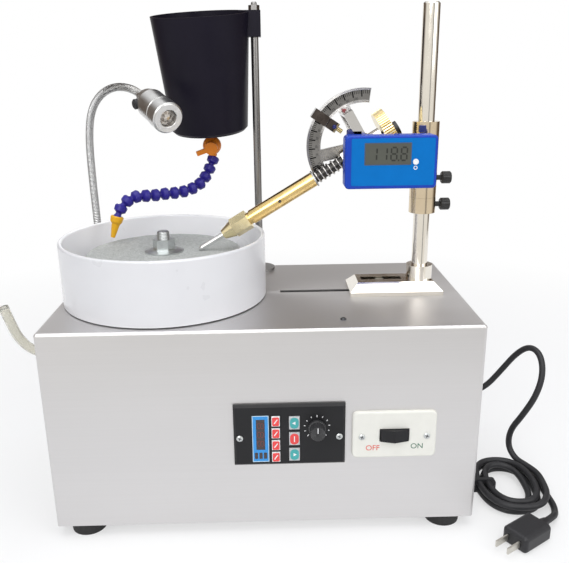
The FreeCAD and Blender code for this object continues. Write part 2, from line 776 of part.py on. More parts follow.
# Control panel with a display recess, holes for seven keys and one for the knob
key_rows = [(index, 1.5 - index) for index in range(4)]
small_keys = [("small_key_%d" % (index + 1), small_key_x, panel_z - 3.3 + step * small_key_pitch)
              for index, step in key_rows]
large_keys = [("function_key_%d" % (index + 1), large_key_x, panel_z - 3.1 + (1 - index) * large_key_pitch)
              for index in range(3)]
front_y = -casing_depth / 2
panel_blank = plate("panel_blank", rectangle(panel_width, panel_height), panel_thickness,
                    casing_point(panel_x, panel_z), FRONT)
dress(panel_blank, "Chamfer", panel_bevel, flat_at(panel_thickness))
panel_cuts = [block("display_recess", (display_x, front_y - panel_thickness, display_z - display_height / 2),
                    display_width, 2 * display_depth, display_height)]
for label, x, z in small_keys + large_keys:
    wide, high = (small_key_width, small_key_height) if "small" in label else (large_key_width, large_key_height)
    panel_cuts.append(block(label + "_hole", (x, front_y - panel_thickness / 2, z - high / 2 - slide_gap),
                            wide + 2 * slide_gap, panel_thickness + 4, high + 2 * slide_gap))
knob_hole = rod_y("knob_hole", (knob_x, front_y - panel_thickness - 1, knob_z), knob_shaft + running,
                  panel_thickness + 2)
panel_cuts.append(knob_hole)
panel_cuts.append(group("panel_screw_holes", screw_holes[:2]))
keep("control_panel", cut("control_panel", panel_blank, *panel_cuts))

# Keys: a cap that stands proud and a flange behind the panel that keeps it in
for label, x, z in small_keys + large_keys:
    wide, high = (small_key_width, small_key_height) if "small" in label else (large_key_width, large_key_height)
    cap = plate(label + "_cap", rectangle(wide, high), panel_thickness + key_proud + 0.5, (x, front_y + 0.5, z),
                FRONT)
    dress(cap, "Fillet", key_round, lambda edge: flat_at(panel_thickness + key_proud + 0.5)(edge))
    flange = block(label + "_flange", (x, front_y + 0.5, z - high / 2 - 0.9), wide + 1.8, 0.8, high + 1.8)
    keep(label, fuse(label, cap, flange))

# Controller box behind the panel, open at its back
box_y = front_y + sheet_wall + 0.3
controller_blank = block("controller_blank", (panel_x, box_y + controller_depth / 2, panel_z - panel_height / 2 + 5),
                         panel_width - 20, controller_depth, panel_height - 10)
controller_room = block("controller_room", (panel_x, box_y + controller_depth / 2 + 3, panel_z - panel_height / 2 + 7),
                        panel_width - 24, controller_depth, panel_height - 14)
controller_hole = rod_y("controller_hole", (knob_x, box_y - 1, knob_z), knob_shaft + running, 6)
keep("controller_box", cut("controller_box", controller_blank, controller_room, controller_hole))

# Speed knob on its shaft
knob_foot = knob_gap + panel_thickness
knob_body = lathe("speed_knob", [
    (0, Size(-6, "(0 - 6)")), (knob_shaft, Size(-6, "(0 - 6)")), (knob_shaft, knob_foot), (knob_radius, knob_foot),
    (knob_radius, knob_foot + 3), (knob_radius - 1, knob_foot + 3.5), (knob_radius - 1.2, knob_foot + knob_length),
    (0, knob_foot + knob_length)], casing_point(knob_x, knob_z), FRONT)
dress(knob_body, "Fillet", key_round, ring_at(knob_radius - 1.2, knob_foot + knob_length))
keep("speed_knob", knob_body)

# Switch plate with the switch housing behind it, and the rocker that turns in it
plate_blank = plate("switch_blank", rectangle(switch_width, switch_height), switch_thickness,
                    casing_point(switch_x, switch_z), FRONT)
dress(plate_blank, "Fillet", switch_corner, upright)
dress(plate_blank, "Fillet", pan_rim_round,
      lambda edge: edge.BoundBox.ZMin > float(switch_thickness) - 1e-3)
switch_housing = block("switch_housing", (switch_x, front_y + switch_depth / 2, switch_z - housing_height / 2),
                       housing_width, switch_depth, housing_height)
switch_pocket = block("switch_pocket",
                      (switch_x, front_y - switch_thickness + 5, switch_z - rocker_height / 2 - rocker_gap / 2),
                      rocker_width + 2 * rocker_gap, 14, rocker_height + rocker_gap)
keep("switch_plate", cut("switch_plate", fuse("switch_whole", plate_blank, switch_housing), switch_pocket,
                         group("switch_screw_holes", screw_holes[2:])))
half_rocker = rocker_width / 2
keep("switch_rocker", plate("switch_rocker", [
    (-half_rocker, rocker_depth), (-half_rocker, -rocker_end), (0, -rocker_ridge), (half_rocker, -rocker_end),
    (half_rocker, rocker_depth)], rocker_height,
    (switch_x, front_y - switch_thickness, switch_z - rocker_height / 2)))

# Four round-headed screws through the two plates
screws = []
for index, (x, z, thickness) in enumerate(screw_places):
    screw = lathe("panel_screw", [
        (0, thickness - screw_length), (screw_shank, thickness - screw_length), (screw_shank, thickness),
        (screw_radius, thickness), (screw_radius, thickness + screw_head / 2),
        (screw_radius - 1, thickness + screw_head), (0, thickness + screw_head)], casing_point(x, z), FRONT)
    screws.append(screw)
keep("panel_screws", group("panel_screws", screws))

# Cord gland in the right wall
keep("cord_gland", lathe("cord_gland", [
    (0, -8), (gland_radius, -8), (gland_radius, 0), (gland_flange, 0), (gland_flange, gland_flange_thickness),
    (gland_radius, gland_flange_thickness), (gland_tip, gland_length), (0, gland_length)],
    (casing_width / 2, gland_y, gland_z), RIGHT))

# Mains cord from the gland up in a loop and down to the hank, then from the hank to the plug
wall_x = float(casing_width) / 2
cord_y = float(gland_y)
hank_right = float(hank_x) + float(hank_half_width)
hank_mid = float(hank_y)
low_z = float(cord_radius) + 0.2
high_z = low_z + float(hank_rise)
cord_route = [(wall_x + float(gland_length), cord_y, 68), (wall_x + 39, cord_y, 68), (wall_x + 55, 43.5, 77),
              (wall_x + 69, 40, 98), (wall_x + 82, 34, 121), (wall_x + 92, 23, 134),
              (wall_x + 98, 7, 131), (wall_x + 97, -7, 114), (wall_x + 90, -11, 90),
              (wall_x + 79, -6, 64), (wall_x + 71.5, 3, 43), (wall_x + 70.5, 4, 22.7),
              (hank_right - 14.2, hank_mid + 41.6, 11.9), (hank_right - 6, hank_mid + 28, 11.5),
              (hank_right, hank_mid + 14, high_z), (hank_right, hank_mid, high_z)]
plug_z = float(plug_height) / 2
tail_route = [(hank_right, hank_mid, low_z), (hank_right, hank_mid - 16, low_z),
              (hank_right - 0.5, hank_mid - 32, low_z + 1), (hank_right - 4, hank_mid - 46, plug_z - 3.5),
              (hank_right - 11, hank_mid - 57, plug_z), (hank_right - 21, hank_mid - 63.5, plug_z)]
entry = tube("cord entry", route_wire("cord entry", cord_route), cord_radius)
tail = tube("cord tail", route_wire("cord tail", tail_route), cord_radius)
keep("mains_cord", shaped("mains_cord", Part.Compound([entry, tail])))

# Hank: one unbroken tube, wound inwards on the upper layer and outwards on the lower one
quarters = int(float(hank_turns) * 4)
hank_edges = []
stations = []
for quarter in range(quarters + 1):
    turn = quarter / 4
    inset = float(hank_step) * (2 - abs(turn - 2))
    across = float(hank_half_width) - inset
    along = float(hank_half_length) - inset
    fall = min(1, max(0, (turn - 1.75) / 0.5))
    height = high_z + (low_z - high_z) * fall
    spot = [(across, 0), (0, -along), (-across, 0), (0, along)][quarter % 4]
    heading = [Vector(0, -1, 0), Vector(-1, 0, 0), Vector(0, 1, 0), Vector(1, 0, 0)][quarter % 4]
    stations.append((Vector(float(hank_x) + spot[0], hank_mid + spot[1], height), heading))
for (start, heading), (end, leaving) in zip(stations, stations[1:]):
    hank_edges += biarc(start, heading, end, leaving)
hank_wire = Part.Wire(hank_edges)
print("hank least gap", round(least_gap(hank_wire.discretize(Distance=3), 2 * float(cord_radius), 15), 2))
keep("cord_hank", shaped("cord_hank", tube("hank", hank_wire, cord_radius)))

# Plug with a strain relief and two flat pins, lying on the table
plug_blank = plate("plug_blank", rectangle(plug_width, plug_height), plug_length)
dress(plug_blank, "Fillet", plug_round, lambda edge: upright(edge) or flat_at(plug_length)(edge))
relief = solid("Cone", "plug_relief", (0, 0, -12 + 0 * plug_length), Radius1=gland_tip - 1, Radius2=gland_radius - 1,
               Height=12)
pins = [block("plug_pin", (side * pin_spread / 2, 0, plug_length - 2), pin_thickness, pin_width, pin_length + 2)
        for side in (-1, 1)]
plug = fuse("mains_plug", plug_blank, relief, *pins)
flat_heading = (Vector(*tail_route[-1]) - Vector(*tail_route[-2])).normalize()
plug_turn = Rotation(Vector(-flat_heading.y, flat_heading.x, 0), Z_AXIS, flat_heading, "ZXY")
pose(plug, Vector(*tail_route[-1]) + flat_heading * 12, plug_turn)
keep("mains_plug", plug)

# Drain: a bent pipe from the pan floor out through the left wall, and a clear hose on its barb
wall_left = -float(casing_width) / 2
down_top = Vector(float(drain_x), float(drain_y), float(casing_top + pan_floor))
corner = Vector(float(drain_x), float(drain_y), float(drain_z))
side_out = Vector(wall_left - 3, float(drain_y), float(drain_z))
bend = float(drain_bend)
bend_first = corner + Vector(0, 0, bend)
bend_last = corner - Vector(bend, 0, 0)
bend_middle = corner + Vector(-bend, 0, bend) + Vector(1, 0, -1) * bend / math.sqrt(2)
drain_wire = Part.Wire([Part.LineSegment(down_top, bend_first).toShape(),
                        Part.Arc(bend_first, bend_middle, bend_last).toShape(),
                        Part.LineSegment(bend_last, side_out).toShape()])
barb_start = side_out + Vector(1, 0, 0)
elbow = tube("drain", drain_wire, drain_radius)
elbow = elbow.fuse(Part.makeCylinder(float(drain_collar), 3, Vector(wall_left, corner.y, corner.z), -X_AXIS))
elbow = elbow.fuse(Part.makeCylinder(float(barb_radius), float(barb_length) + 1, barb_start, -X_AXIS))
bore_end = Part.makeCylinder(float(drain_bore) - 0.8, 20, side_out + Vector(2, 0, 0), -X_AXIS)
elbow = elbow.cut(tube("drain bore", drain_wire, float(drain_bore) - 0.8)).cut(bore_end)
keep("drain_elbow", shaped("drain_elbow", elbow))
hose_route = [(wall_left - 3, -31, 160), (wall_left - 17, -31, 160), (wall_left - 31, -33, 166),
              (wall_left - 40, -36, 180), (wall_left - 44, -39, 196), (wall_left - 48, -41, 213)]
hose_wire = route_wire("drain hose", hose_route)
drain_hose = tube("drain hose", hose_wire, hose_radius).cut(tube("hose bore", hose_wire, barb_radius))
keep("drain_hose", shaped("drain_hose", drain_hose))

# Lamp: base with a socket, gooseneck, head with a lens recess, and a push switch on the head
base_body = lathe("lamp_base", [
    (neck_radius + running, 0), (lamp_base_radius, 0), (lamp_base_radius, lamp_base_height - 3),
    (lamp_base_radius - 3, lamp_base_height), (neck_radius + running, lamp_base_height)],
    (lamp_x, lamp_y, casing_top))
keep("lamp_base", base_body)
lamp_heading = Vector(0.529, -0.784, -0.326).normalize()
neck_x, neck_y, neck_z = float(lamp_x), float(lamp_y), float(casing_top)
neck_route = [(neck_x, neck_y, neck_z + 1), (neck_x, neck_y, neck_z + 53), (neck_x - 1, neck_y, neck_z + 103),
              (neck_x - 0.7, neck_y - 0.5, neck_z + 149), (neck_x + 4.5, neck_y - 2, neck_z + 179),
              (neck_x + 17, neck_y - 4, neck_z + 196.5), (neck_x + 34.5, neck_y - 7.5, neck_z + 204)]
neck_end = Vector(neck_x + 63.9, neck_y - 30, neck_z + 195)
neck_route += [tuple(neck_end - lamp_heading * 18), tuple(neck_end)]
neck = tube("gooseneck", route_wire("gooseneck", neck_route), neck_radius)
keep("gooseneck", shaped("gooseneck", neck))
lamp_start = neck_end
lamp_turn = turned_to(lamp_heading)
switch_heading = Vector(-0.846, -0.522, -0.113)
switch_heading = (switch_heading - lamp_heading * switch_heading.dot(lamp_heading)).normalize()
head_blank = lathe("lamp_turned", [
    (0, 0), (lamp_collar, 0), (lamp_collar, 5), (lamp_radius - 3.5, 14), (lamp_radius - 0.6, 24),
    (lamp_radius - 0.6, lamp_length - 17), (lamp_radius - 1.2, lamp_length - 16.5), (lamp_radius - 1.2, lamp_length - 15),
    (lamp_radius, lamp_length - 14.5), (lamp_radius, lamp_length - 1), (lamp_radius - 1, lamp_length),
    (lamp_recess + 2, lamp_length), (lamp_recess, lamp_length - lamp_recess_depth),
    (0, lamp_length - lamp_recess_depth)])
pose(head_blank, lamp_start, lamp_turn)
switch_seat = lamp_start + lamp_heading * float(lamp_switch_station) + switch_heading * (float(lamp_radius) - 7)
switch_turn = turned_to(switch_heading)
switch_hole = solid("Cylinder", "lamp_switch_hole", Radius=lamp_switch_radius + slide_gap, Height=20)
pose(switch_hole, switch_seat, switch_turn)
keep("lamp_head", cut("lamp_head", head_blank, switch_hole))
button = lathe("lamp_switch", [
    (0, lamp_switch_travel + 0.4), (lamp_switch_radius, lamp_switch_travel + 0.4), (lamp_switch_radius, 7.2 + 0 * lamp_radius),
    (lamp_switch_radius - 1.5, 8.4 + 0 * lamp_radius), (0, 8.4 + 0 * lamp_radius)])
keep("lamp_switch", pose(button, switch_seat, switch_turn))

# Tank rod with its flange on the casing top, and its two nuts
keep("tank_rod", lathe("tank_rod", [
    (0, inner_top - 12), (rod_thread, inner_top - 12), (rod_thread, casing_top), (rod_flange_radius, casing_top),
    (rod_flange_radius, casing_top + rod_flange_height), (rod_radius, casing_top + rod_flange_height),
    (rod_radius, ear_bottom - rest_gap), (rod_thread, ear_bottom - rest_gap), (rod_thread, rod_top - 1),
    (rod_thread - 1, rod_top), (0, rod_top)], (rod_x_place, rod_y_place, 0)))
keep("rod_nuts", group("rod_nuts", [
    nut("rod_top_nut", rod_nut_flats, rod_nut_height, rod_thread,
        (rod_x_place, rod_y_place, ear_bottom + ear_height + rest_gap)),
    nut("rod_lock_nut", lock_nut_flats, lock_nut_height, rod_thread,
        (rod_x_place, rod_y_place, inner_top - lock_nut_height))]))

# Drip tank: a leaning tapered bucket with an ear that turns on the rod
tank_turn = Rotation(Y_AXIS, -float(tank_tilt)).multiply(Rotation(X_AXIS, float(tank_lean)))
tank_axis = tank_turn.multVec(Z_AXIS)
rim_centre = Vector(float(tank_centre_x), float(rod_y_place), float(tank_rim_z))
tank_base = rim_centre - tank_axis * float(tank_height)
tank_blank = lathe("tank_blank", [
    (0, 0), (tank_base_radius - 3, 0), (tank_base_radius, 3 + 0 * tank_floor), (tank_rim_radius, tank_height),
    (0, tank_height)])
pose(tank_blank, tank_base, tank_turn)
tank_room = lathe("tank_room", [
    (0, tank_floor), (tank_base_radius - tank_wall, tank_floor), (tank_rim_radius - tank_wall, tank_height + 1),
    (0, tank_height + 1)])
pose(tank_room, tank_base, tank_turn)
ear_left = 16 + 0 * ear_half_width
ear = solid("Box", "tank_ear", (rod_x_place - ear_left, rod_y_place - ear_depth / 2, ear_bottom),
            Length=ear_left + ear_half_width, Width=ear_depth, Height=ear_height)
ear_bore = rod_z("tank_ear_bore", (rod_x_place, rod_y_place, ear_bottom - 1), rod_thread + running, ear_height + 2)
outlet_bore = solid("Cylinder", "tank_outlet", Radius=2.2, Height=20)
pose(outlet_bore, tank_base - tank_axis * 5, tank_turn)
keep("water_tank", cut("water_tank", fuse("tank_whole", tank_blank, ear), tank_room, ear_bore, outlet_bore))

# Valve under the tank and the lever on its front
down = tank_axis * -1
valve_turn = turned_to(down)
front = Vector(0, -1, 0)
front = (front - down * front.dot(down)).normalize()
ball_centre = tank_base + down * float(valve_ball_drop)
valve_tube = lathe("valve_tube", [
    (0, 0), (valve_neck_radius, 0), (valve_neck_radius, 2 + 0 * valve_ball_drop), (valve_waist_radius, 8 + 0 * valve_ball_drop),
    (valve_waist_radius, valve_ball_drop + 11.5), (0, valve_ball_drop + 11.5)])
pose(valve_tube, tank_base, valve_turn)
valve_ball = solid("Sphere", "valve_ball", Radius=valve_ball_radius)
pose(valve_ball, ball_centre, Rotation())
valve_boss = solid("Cylinder", "valve_boss", Radius=valve_boss_radius, Height=valve_boss_length)
pose(valve_boss, ball_centre, turned_to(front))
lever_pin_hole = solid("Cylinder", "lever_pin_hole", Radius=2 + running, Height=valve_boss_length + 1)
pose(lever_pin_hole, ball_centre + front * 4, turned_to(front))
hose_ball_centre = tank_base + down * (float(valve_ball_drop) + 15)
hose_ball = solid("Sphere", "valve_outlet_ball", Radius=bead_ball)
pose(hose_ball, hose_ball_centre, Rotation())
keep("valve_body", cut("valve_body", fuse("valve_whole", valve_tube, valve_ball, valve_boss, hose_ball), lever_pin_hole))
lever_seat = ball_centre + front * (float(valve_boss_length) + 0.3)
lever_hub = solid("Cylinder", "lever_hub", Radius=lever_hub_radius, Height=lever_thickness)
pose(lever_hub, lever_seat, turned_to(front))
lever_pin = solid("Cylinder", "lever_pin", Radius=2, Height=6)
pose(lever_pin, lever_seat - front * 5.5, turned_to(front))
lever_heading = Vector(math.cos(math.radians(200)), 0, math.sin(math.radians(200)))
lever_heading = (lever_heading - front * lever_heading.dot(front)).normalize()
lever_side = front.cross(lever_heading)
lever_bar = solid("Box", "lever_bar", Length=lever_reach, Width=lever_width, Height=lever_thickness)
pose(lever_bar, lever_seat - lever_side * float(lever_width) / 2, Rotation(lever_heading, lever_side, front, "XYZ"))
keep("valve_lever", fuse("valve_lever", lever_hub, lever_pin, lever_bar))

# Jointed hose: beads from ball to ball along the route, in two lengths that turn on one ball
pitch = float(bead_pitch)
bell, neck_r, ball_r = float(bead_bell), float(bead_neck), float(bead_ball)


def bead(start, end, socket):
    """One bead: a bell over the last ball, a neck, and a ball of its own at its end."""
    length = start.distanceToPoint(end)
    profile = [Vector(0, 0, -2.2), Vector(bell - 1.2, 0, -2.2), Vector(bell, 0, -0.6), Vector(bell - 0.5, 0, 4.2),
               Vector(neck_r, 0, 6.4), Vector(neck_r, 0, length), Vector(0, 0, length), Vector(0, 0, -2.2)]
    shape = Part.Face(Part.makePolygon(profile)).revolve(Vector(), Z_AXIS, 360)
    shape = shape.fuse(Part.makeSphere(ball_r, Vector(0, 0, length)))
    if socket:
        shape = shape.cut(Part.makeSphere(ball_r + socket, Vector()))
        shape = shape.cut(Part.makeCylinder(neck_r + 1.1, 4, Vector(0, 0, -4)))
    shape.Placement = Placement(start, turned_to(end - start))
    return shape


hose_points = [hose_ball_centre]
for x, y, z in ((-57.7, 107.3, 322.3), (-62.3, 102.5, 313.6), (-67.9, 96.1, 306.9), (-75.8, 89.7, 302.7),
                (-84.9, 84.3, 300.3), (-94.6, 79.1, 299.7), (-104.2, 74.0, 299.9), (-113.7, 68.6, 299.4),
                (-122.9, 62.8, 299.9), (-132.0, 57.1, 300.6), (-140.6, 51.0, 297.5), (-147.5, 46.5, 290.4), (-151.5, 43.5, 281.0)):
    hose_points.append(hose_points[-1] + (Vector(x, y, z) - hose_points[-1]).normalize() * pitch)
split = 6
upper = bead(hose_points[0], hose_points[1], 0)
for first, second in zip(hose_points[1:split], hose_points[2:split + 1]):
    upper = upper.fuse(bead(first, second, 0))
lower = bead(hose_points[split], hose_points[split + 1], float(slide_gap))
for first, second in zip(hose_points[split + 1:-1], hose_points[split + 2:]):
    lower = lower.fuse(bead(first, second, 0))
upper = upper.cut(Part.makeSphere(ball_r, hose_points[0])).removeSplitter()
neck_room = Part.makeCylinder(float(valve_waist_radius), 10, hose_points[0] - down * 10, down)
upper = max(upper.cut(neck_room).Solids, key=lambda piece: piece.Volume)
keep("hose_upper", shaped("hose_upper", upper))
keep("hose_lower", shaped("hose_lower", lower))
print("hose joint at", [round(value, 2) for value in hose_points[split]], "end", [round(value, 2) for value in hose_points[-1]])
nozzle_heading = Vector(-6, -3, -22)
tip_r = float(nozzle_tip)
length = float(nozzle_length)
profile = [Vector(1.2, 0, -1), Vector(bell - 0.8, 0, -1), Vector(bell, 0, 0.2), Vector(bell - 0.6, 0, 5),
           Vector(4.4, 0, 7.5), Vector(tip_r, 0, length), Vector(1.2, 0, length), Vector(1.2, 0, -1)]
nozzle = Part.Face(Part.makePolygon(profile)).revolve(Vector(), Z_AXIS, 360)
nozzle = nozzle.cut(Part.makeSphere(ball_r + float(slide_gap), Vector()))
nozzle = nozzle.cut(Part.makeCylinder(neck_r + 1.6, 4, Vector(0, 0, -4)))
nozzle.Placement = Placement(hose_points[-1], turned_to(nozzle_heading))
keep("nozzle", shaped("nozzle", nozzle))

# Mast foot with a socket, the mast in it, and the clamp bolt through the casing slot
foot_z = casing_top + rest_gap
foot_blank = plate("foot_blank", rectangle(foot_plate_length, foot_plate_depth), foot_plate_height,
                   (foot_plate_x, line_y, foot_z))
dress(foot_blank, "Chamfer", foot_plate_inset, flat_at(foot_plate_height))
socket = rod_z("mast_socket", (mast_x, line_y, foot_z + 2), socket_radius, socket_top - 2)
mast_bore = rod_z("mast_bore", (mast_x, line_y, foot_z + 2), mast_radius, socket_top)
slot_low = block("foot_slot_low", (foot_slot_x, line_y, foot_z - 1), foot_slot_length, 2 * bolt_radius + 0.6, 20)
slot_high = block("foot_slot_high", (foot_slot_x, line_y, foot_z + 5), foot_slot_length, foot_slot_width, 20)
keep("mast_foot", cut("mast_foot", fuse("foot_whole", foot_blank, socket), mast_bore, slot_low, slot_high))
keep("mast", lathe("mast", [
    (0, foot_z + 2), (mast_radius, foot_z + 2), (mast_radius, mast_top - mast_chamfer),
    (mast_radius - mast_chamfer, mast_top), (0, mast_top)], (mast_x, line_y, 0)))
under = inner_top - rest_gap
keep("clamp_bolt", lathe("clamp_bolt", [
    (0, under - bolt_below - 3), (bolt_radius, under - bolt_below - 3), (bolt_radius, under - bolt_below),
    (bolt_washer - 3, under - bolt_below), (bolt_washer - 3, under - 2), (bolt_washer, under - 2), (bolt_washer, under),
    (bolt_radius, under), (bolt_radius, foot_z + 5), (foot_slot_width / 2 - 0.3, foot_z + 5),
    (foot_slot_width / 2 - 0.3, foot_z + 5 + bolt_head), (0, foot_z + 5 + bolt_head)], (bolt_x, line_y, 0)))

# Stop collar, head sleeve with its gauge bracket and pointer, and their thumbscrews
collar_blank = lathe("collar_blank", [
    (mast_radius + running, 0), (sleeve_radius, 0), (sleeve_radius, collar_height),
    (mast_radius + running, collar_height)], (mast_x, line_y, collar_bottom))
collar_hole = rod_x("collar_screw_hole", (mast_x, line_y, collar_bottom + collar_height / 2), thumb_shank + running, 20)
keep("stop_collar", cut("stop_collar", collar_blank, collar_hole))
sleeve_blank = rod_z("sleeve_blank", (mast_x, line_y, sleeve_bottom), sleeve_radius, sleeve_length)
plate_y = line_y - bracket_front
boss = solid("Box", "sleeve_boss", (boss_left, plate_y, bracket_bottom - 6), Length=boss_right - boss_left,
             Width=bracket_front - 8.5, Height=bracket_top - bracket_bottom + 6)
bracket = solid("Box", "gauge_bracket", (bracket_left, plate_y, bracket_bottom), Length=boss_right - bracket_left,
                Width=bracket_thickness, Height=bracket_top - bracket_bottom)
pointer_turn = Rotation(Y_AXIS, 90 - float(pointer_angle))
pivot = Vector(float(pivot_x), float(line_y), float(pivot_z))
pointer_stem = solid("Box", "pointer_stem", Length=pointer_width, Width=bracket_thickness, Height=pointer_reach - 8)
pose(pointer_stem, pivot + pointer_turn.multVec(Vector(-float(pointer_width) / 2, -float(bracket_front), 8)), pointer_turn)
pointer_tab = solid("Box", "pointer_tab", Length=pointer_width, Width=bracket_front + 11, Height=3)
pose(pointer_tab, pivot + pointer_turn.multVec(
    Vector(-float(pointer_width) / 2, -float(bracket_front), float(pointer_reach) - 3)), pointer_turn)
sleeve_bore = rod_z("sleeve_bore", (mast_x, line_y, sleeve_bottom - 1), mast_radius + running, sleeve_length + 2)
trunnion_bore = rod_y("trunnion_bore", (pivot_x, plate_y - 1, pivot_z), trunnion_radius + running, bracket_thickness + 2)
sleeve_screw_z = sleeve_bottom + screw_z
sleeve_hole = rod_x("sleeve_screw_hole", (mast_x, line_y, sleeve_screw_z), thumb_shank + running, 20)
keep("head_sleeve", cut("head_sleeve", fuse("sleeve_whole", sleeve_blank, boss, bracket, pointer_stem, pointer_tab),
                        sleeve_bore, trunnion_bore, sleeve_hole))
for label, height in (("collar_screw", collar_bottom + collar_height / 2), ("sleeve_screw", sleeve_screw_z)):
    tip = mast_radius + slide_gap
    neck_end = sleeve_radius + thumb_neck
    keep(label, lathe(label, [
        (0, tip), (thumb_shank, tip), (thumb_shank, neck_end), (thumb_radius - 1, neck_end),
        (thumb_radius, neck_end + 1), (thumb_radius, neck_end + thumb_length - 1),
        (thumb_radius - 1, neck_end + thumb_length), (0, neck_end + thumb_length)], (mast_x, line_y, height), RIGHT))

# Angle gauge in front of the bracket, with its button
gauge_blank = plate("gauge_blank", rectangle(gauge_width, gauge_height), gauge_thickness,
                    (gauge_left + gauge_width / 2, plate_y, gauge_bottom + gauge_height / 2), FRONT)
dress(gauge_blank, "Fillet", gauge_corner, upright)
dress(gauge_blank, "Fillet", gauge_edge, lambda edge: edge.BoundBox.ZMin > float(gauge_thickness) - 1e-3)
gauge_front = plate_y - gauge_thickness
button_hole = rod_y("gauge_button_hole", (gauge_button_x, gauge_front - 1, gauge_button_z),
                    gauge_button_radius + slide_gap, gauge_button_depth + 2)
keep("gauge_case", cut("gauge_case", gauge_blank, button_hole))
keep("gauge_button", rod_y("gauge_button", (gauge_button_x, gauge_front - gauge_button_proud, gauge_button_z),
                           gauge_button_radius, gauge_button_proud + gauge_button_depth - key_travel - 0.2))

# Arm yoke with its trunnion in the bracket and its boss for the protractor
ARM = (Y_AXIS, arm_turn)
at_pivot = (pivot_x, line_y, pivot_z)
yoke_tube = lathe("yoke_tube", [
    (0, -yoke_back), (yoke_radius, -yoke_back), (yoke_radius, yoke_front), (0, yoke_front)], at_pivot, ARM)
trunnion = rod_y("trunnion", (pivot_x, plate_y + 0.5, pivot_z), trunnion_radius, bracket_front)
trunnion_collar = rod_y("trunnion_collar", (pivot_x, plate_y + bracket_thickness + slide_gap, pivot_z),
                        trunnion_radius + 3, bracket_front - bracket_thickness - slide_gap)
rear_boss = rod_y("rear_boss", (pivot_x, line_y, pivot_z), trunnion_radius + 4, ring_gap)
quill_bore = lathe("quill_bore", [
    (0, -yoke_back - 1), (quill_radius + running, -yoke_back - 1), (quill_radius + running, yoke_front + 1),
    (0, yoke_front + 1)], at_pivot, ARM)
keep("arm_yoke", cut("arm_yoke", fuse("yoke_whole", yoke_tube, trunnion, trunnion_collar, rear_boss), quill_bore))

# Protractor ring with hub and two spokes, and the stop that slides round it
ring_y = line_y + ring_gap
facing = Rotation(X_AXIS, 90)
ring_back = Vector(float(pivot_x), float(ring_y + ring_width), float(pivot_z))
ring_pie = solid("Cylinder", "ring_pie", Radius=ring_outer, Height=ring_width, Angle=ring_end - ring_start)
pose(ring_pie, ring_back, facing.multiply(Rotation(Z_AXIS, float(ring_start))))
ring_hole = rod_y("ring_hole", (pivot_x, ring_y - 1, pivot_z), ring_inner, ring_width + 2)
hub = rod_y("protractor_hub", (pivot_x, ring_y, pivot_z), hub_radius, hub_width)
spokes = []
for angle in (118, 192):
    spoke = solid("Box", "protractor_spoke", Length=spoke_width, Width=hub_width, Height=ring_inner + 2)
    spoke_turn = Rotation(Y_AXIS, 90 - angle)
    pose(spoke, Vector(pivot.x, float(ring_y), pivot.z) + spoke_turn.multVec(Vector(-float(spoke_width) / 2, 0, 0)), spoke_turn)
    spokes.append(spoke)
scale_outer = rod_y("scale_outer", (pivot_x, ring_y - 1, pivot_z), ring_outer - ring_rim, 2.2)
scale_inner = rod_y("scale_inner", (pivot_x, ring_y - 2, pivot_z), ring_inner + ring_rim, 4.2)
scale_sink = cut("scale_sink", scale_outer, scale_inner)
ring_whole = cut("protractor_ring", ring_pie, ring_hole, scale_sink)
keep("protractor", fuse("protractor", ring_whole, hub, *spokes))
stop_turn = Rotation(Y_AXIS, 90 - float(stop_angle))
stop_pieces = []
stop_end = float(ring_outer + stop_reach)
stop_low = float(ring_inner - stop_tail)
ring_near, ring_far, stop_far = float(ring_gap), float(ring_gap + ring_width), float(ring_gap + ring_width) + 4
for name, low, high, near, far in (
        ("stop_front", float(ring_inner) + 1, stop_end, ring_near - 4, ring_near - 0.3),
        ("stop_back", stop_low, stop_end, ring_far + 0.3, stop_far),
        ("stop_outer", float(ring_outer) + 0.3, stop_end, ring_near - 4, stop_far),
        ("stop_inner", stop_low, float(ring_inner) - 0.7, ring_near + 0.5, stop_far)):
    piece = solid("Box", name, Length=stop_width, Width=far - near, Height=high - low)
    corner = Vector(-float(stop_width) / 2, near, low)
    pose(piece, pivot + stop_turn.multVec(corner), stop_turn)
    stop_pieces.append(piece)
for name, start, heading, radius, reach in (
        ("stop_screw", Vector(0, ring_near + 5, stop_low - 6), Z_AXIS, 2.2, 8),
        ("stop_clamp", Vector(0, ring_near - 7, (stop_low + stop_end) / 2 + 6), Y_AXIS, 3, 4)):
    piece = solid("Cylinder", name, Radius=radius, Height=reach)
    pose(piece, pivot + stop_turn.multVec(start), stop_turn.multiply(turned_to(heading)))
    stop_pieces.append(piece)
keep("stop_block", fuse("stop_block", *stop_pieces))

# Quill: barrel and shaft, thrust washer, spring, chuck, dop, and the index wheel with its knob
barrel_end = barrel_start + barrel_length
wheel_back = -wheel_start - wheel_width
barrel_body = lathe("barrel_turned", [
    (0, wheel_back), (quill_radius, wheel_back), (quill_radius, barrel_start), (barrel_radius, barrel_start),
    (barrel_radius, barrel_end), (barrel_radius - 1, barrel_end), (barrel_radius - 1, barrel_end + chuck_neck),
    (0, barrel_end + chuck_neck)], at_pivot, ARM)
cross_hole = rod_y("barrel_cross_hole", (0, 0, 0), barrel_hole, 30)
arm_rotation = Rotation(Y_AXIS, float(arm_turn))
arm_heading = arm_rotation.multVec(Z_AXIS)
pose(cross_hole, pivot + arm_heading * float(barrel_hole_at) + Vector(0, -15, 0), Rotation(X_AXIS, -90))
keep("quill_barrel", cut("quill_barrel", barrel_body, cross_hole))
keep("thrust_washer", lathe("thrust_washer", [
    (quill_radius + running, barrel_start - thrust_thickness - rest_gap),
    (barrel_radius + 1, barrel_start - thrust_thickness - rest_gap),
    (barrel_radius + 1, barrel_start - rest_gap), (quill_radius + running, barrel_start - rest_gap)], at_pivot, ARM))
chuck_start = barrel_end + chuck_neck
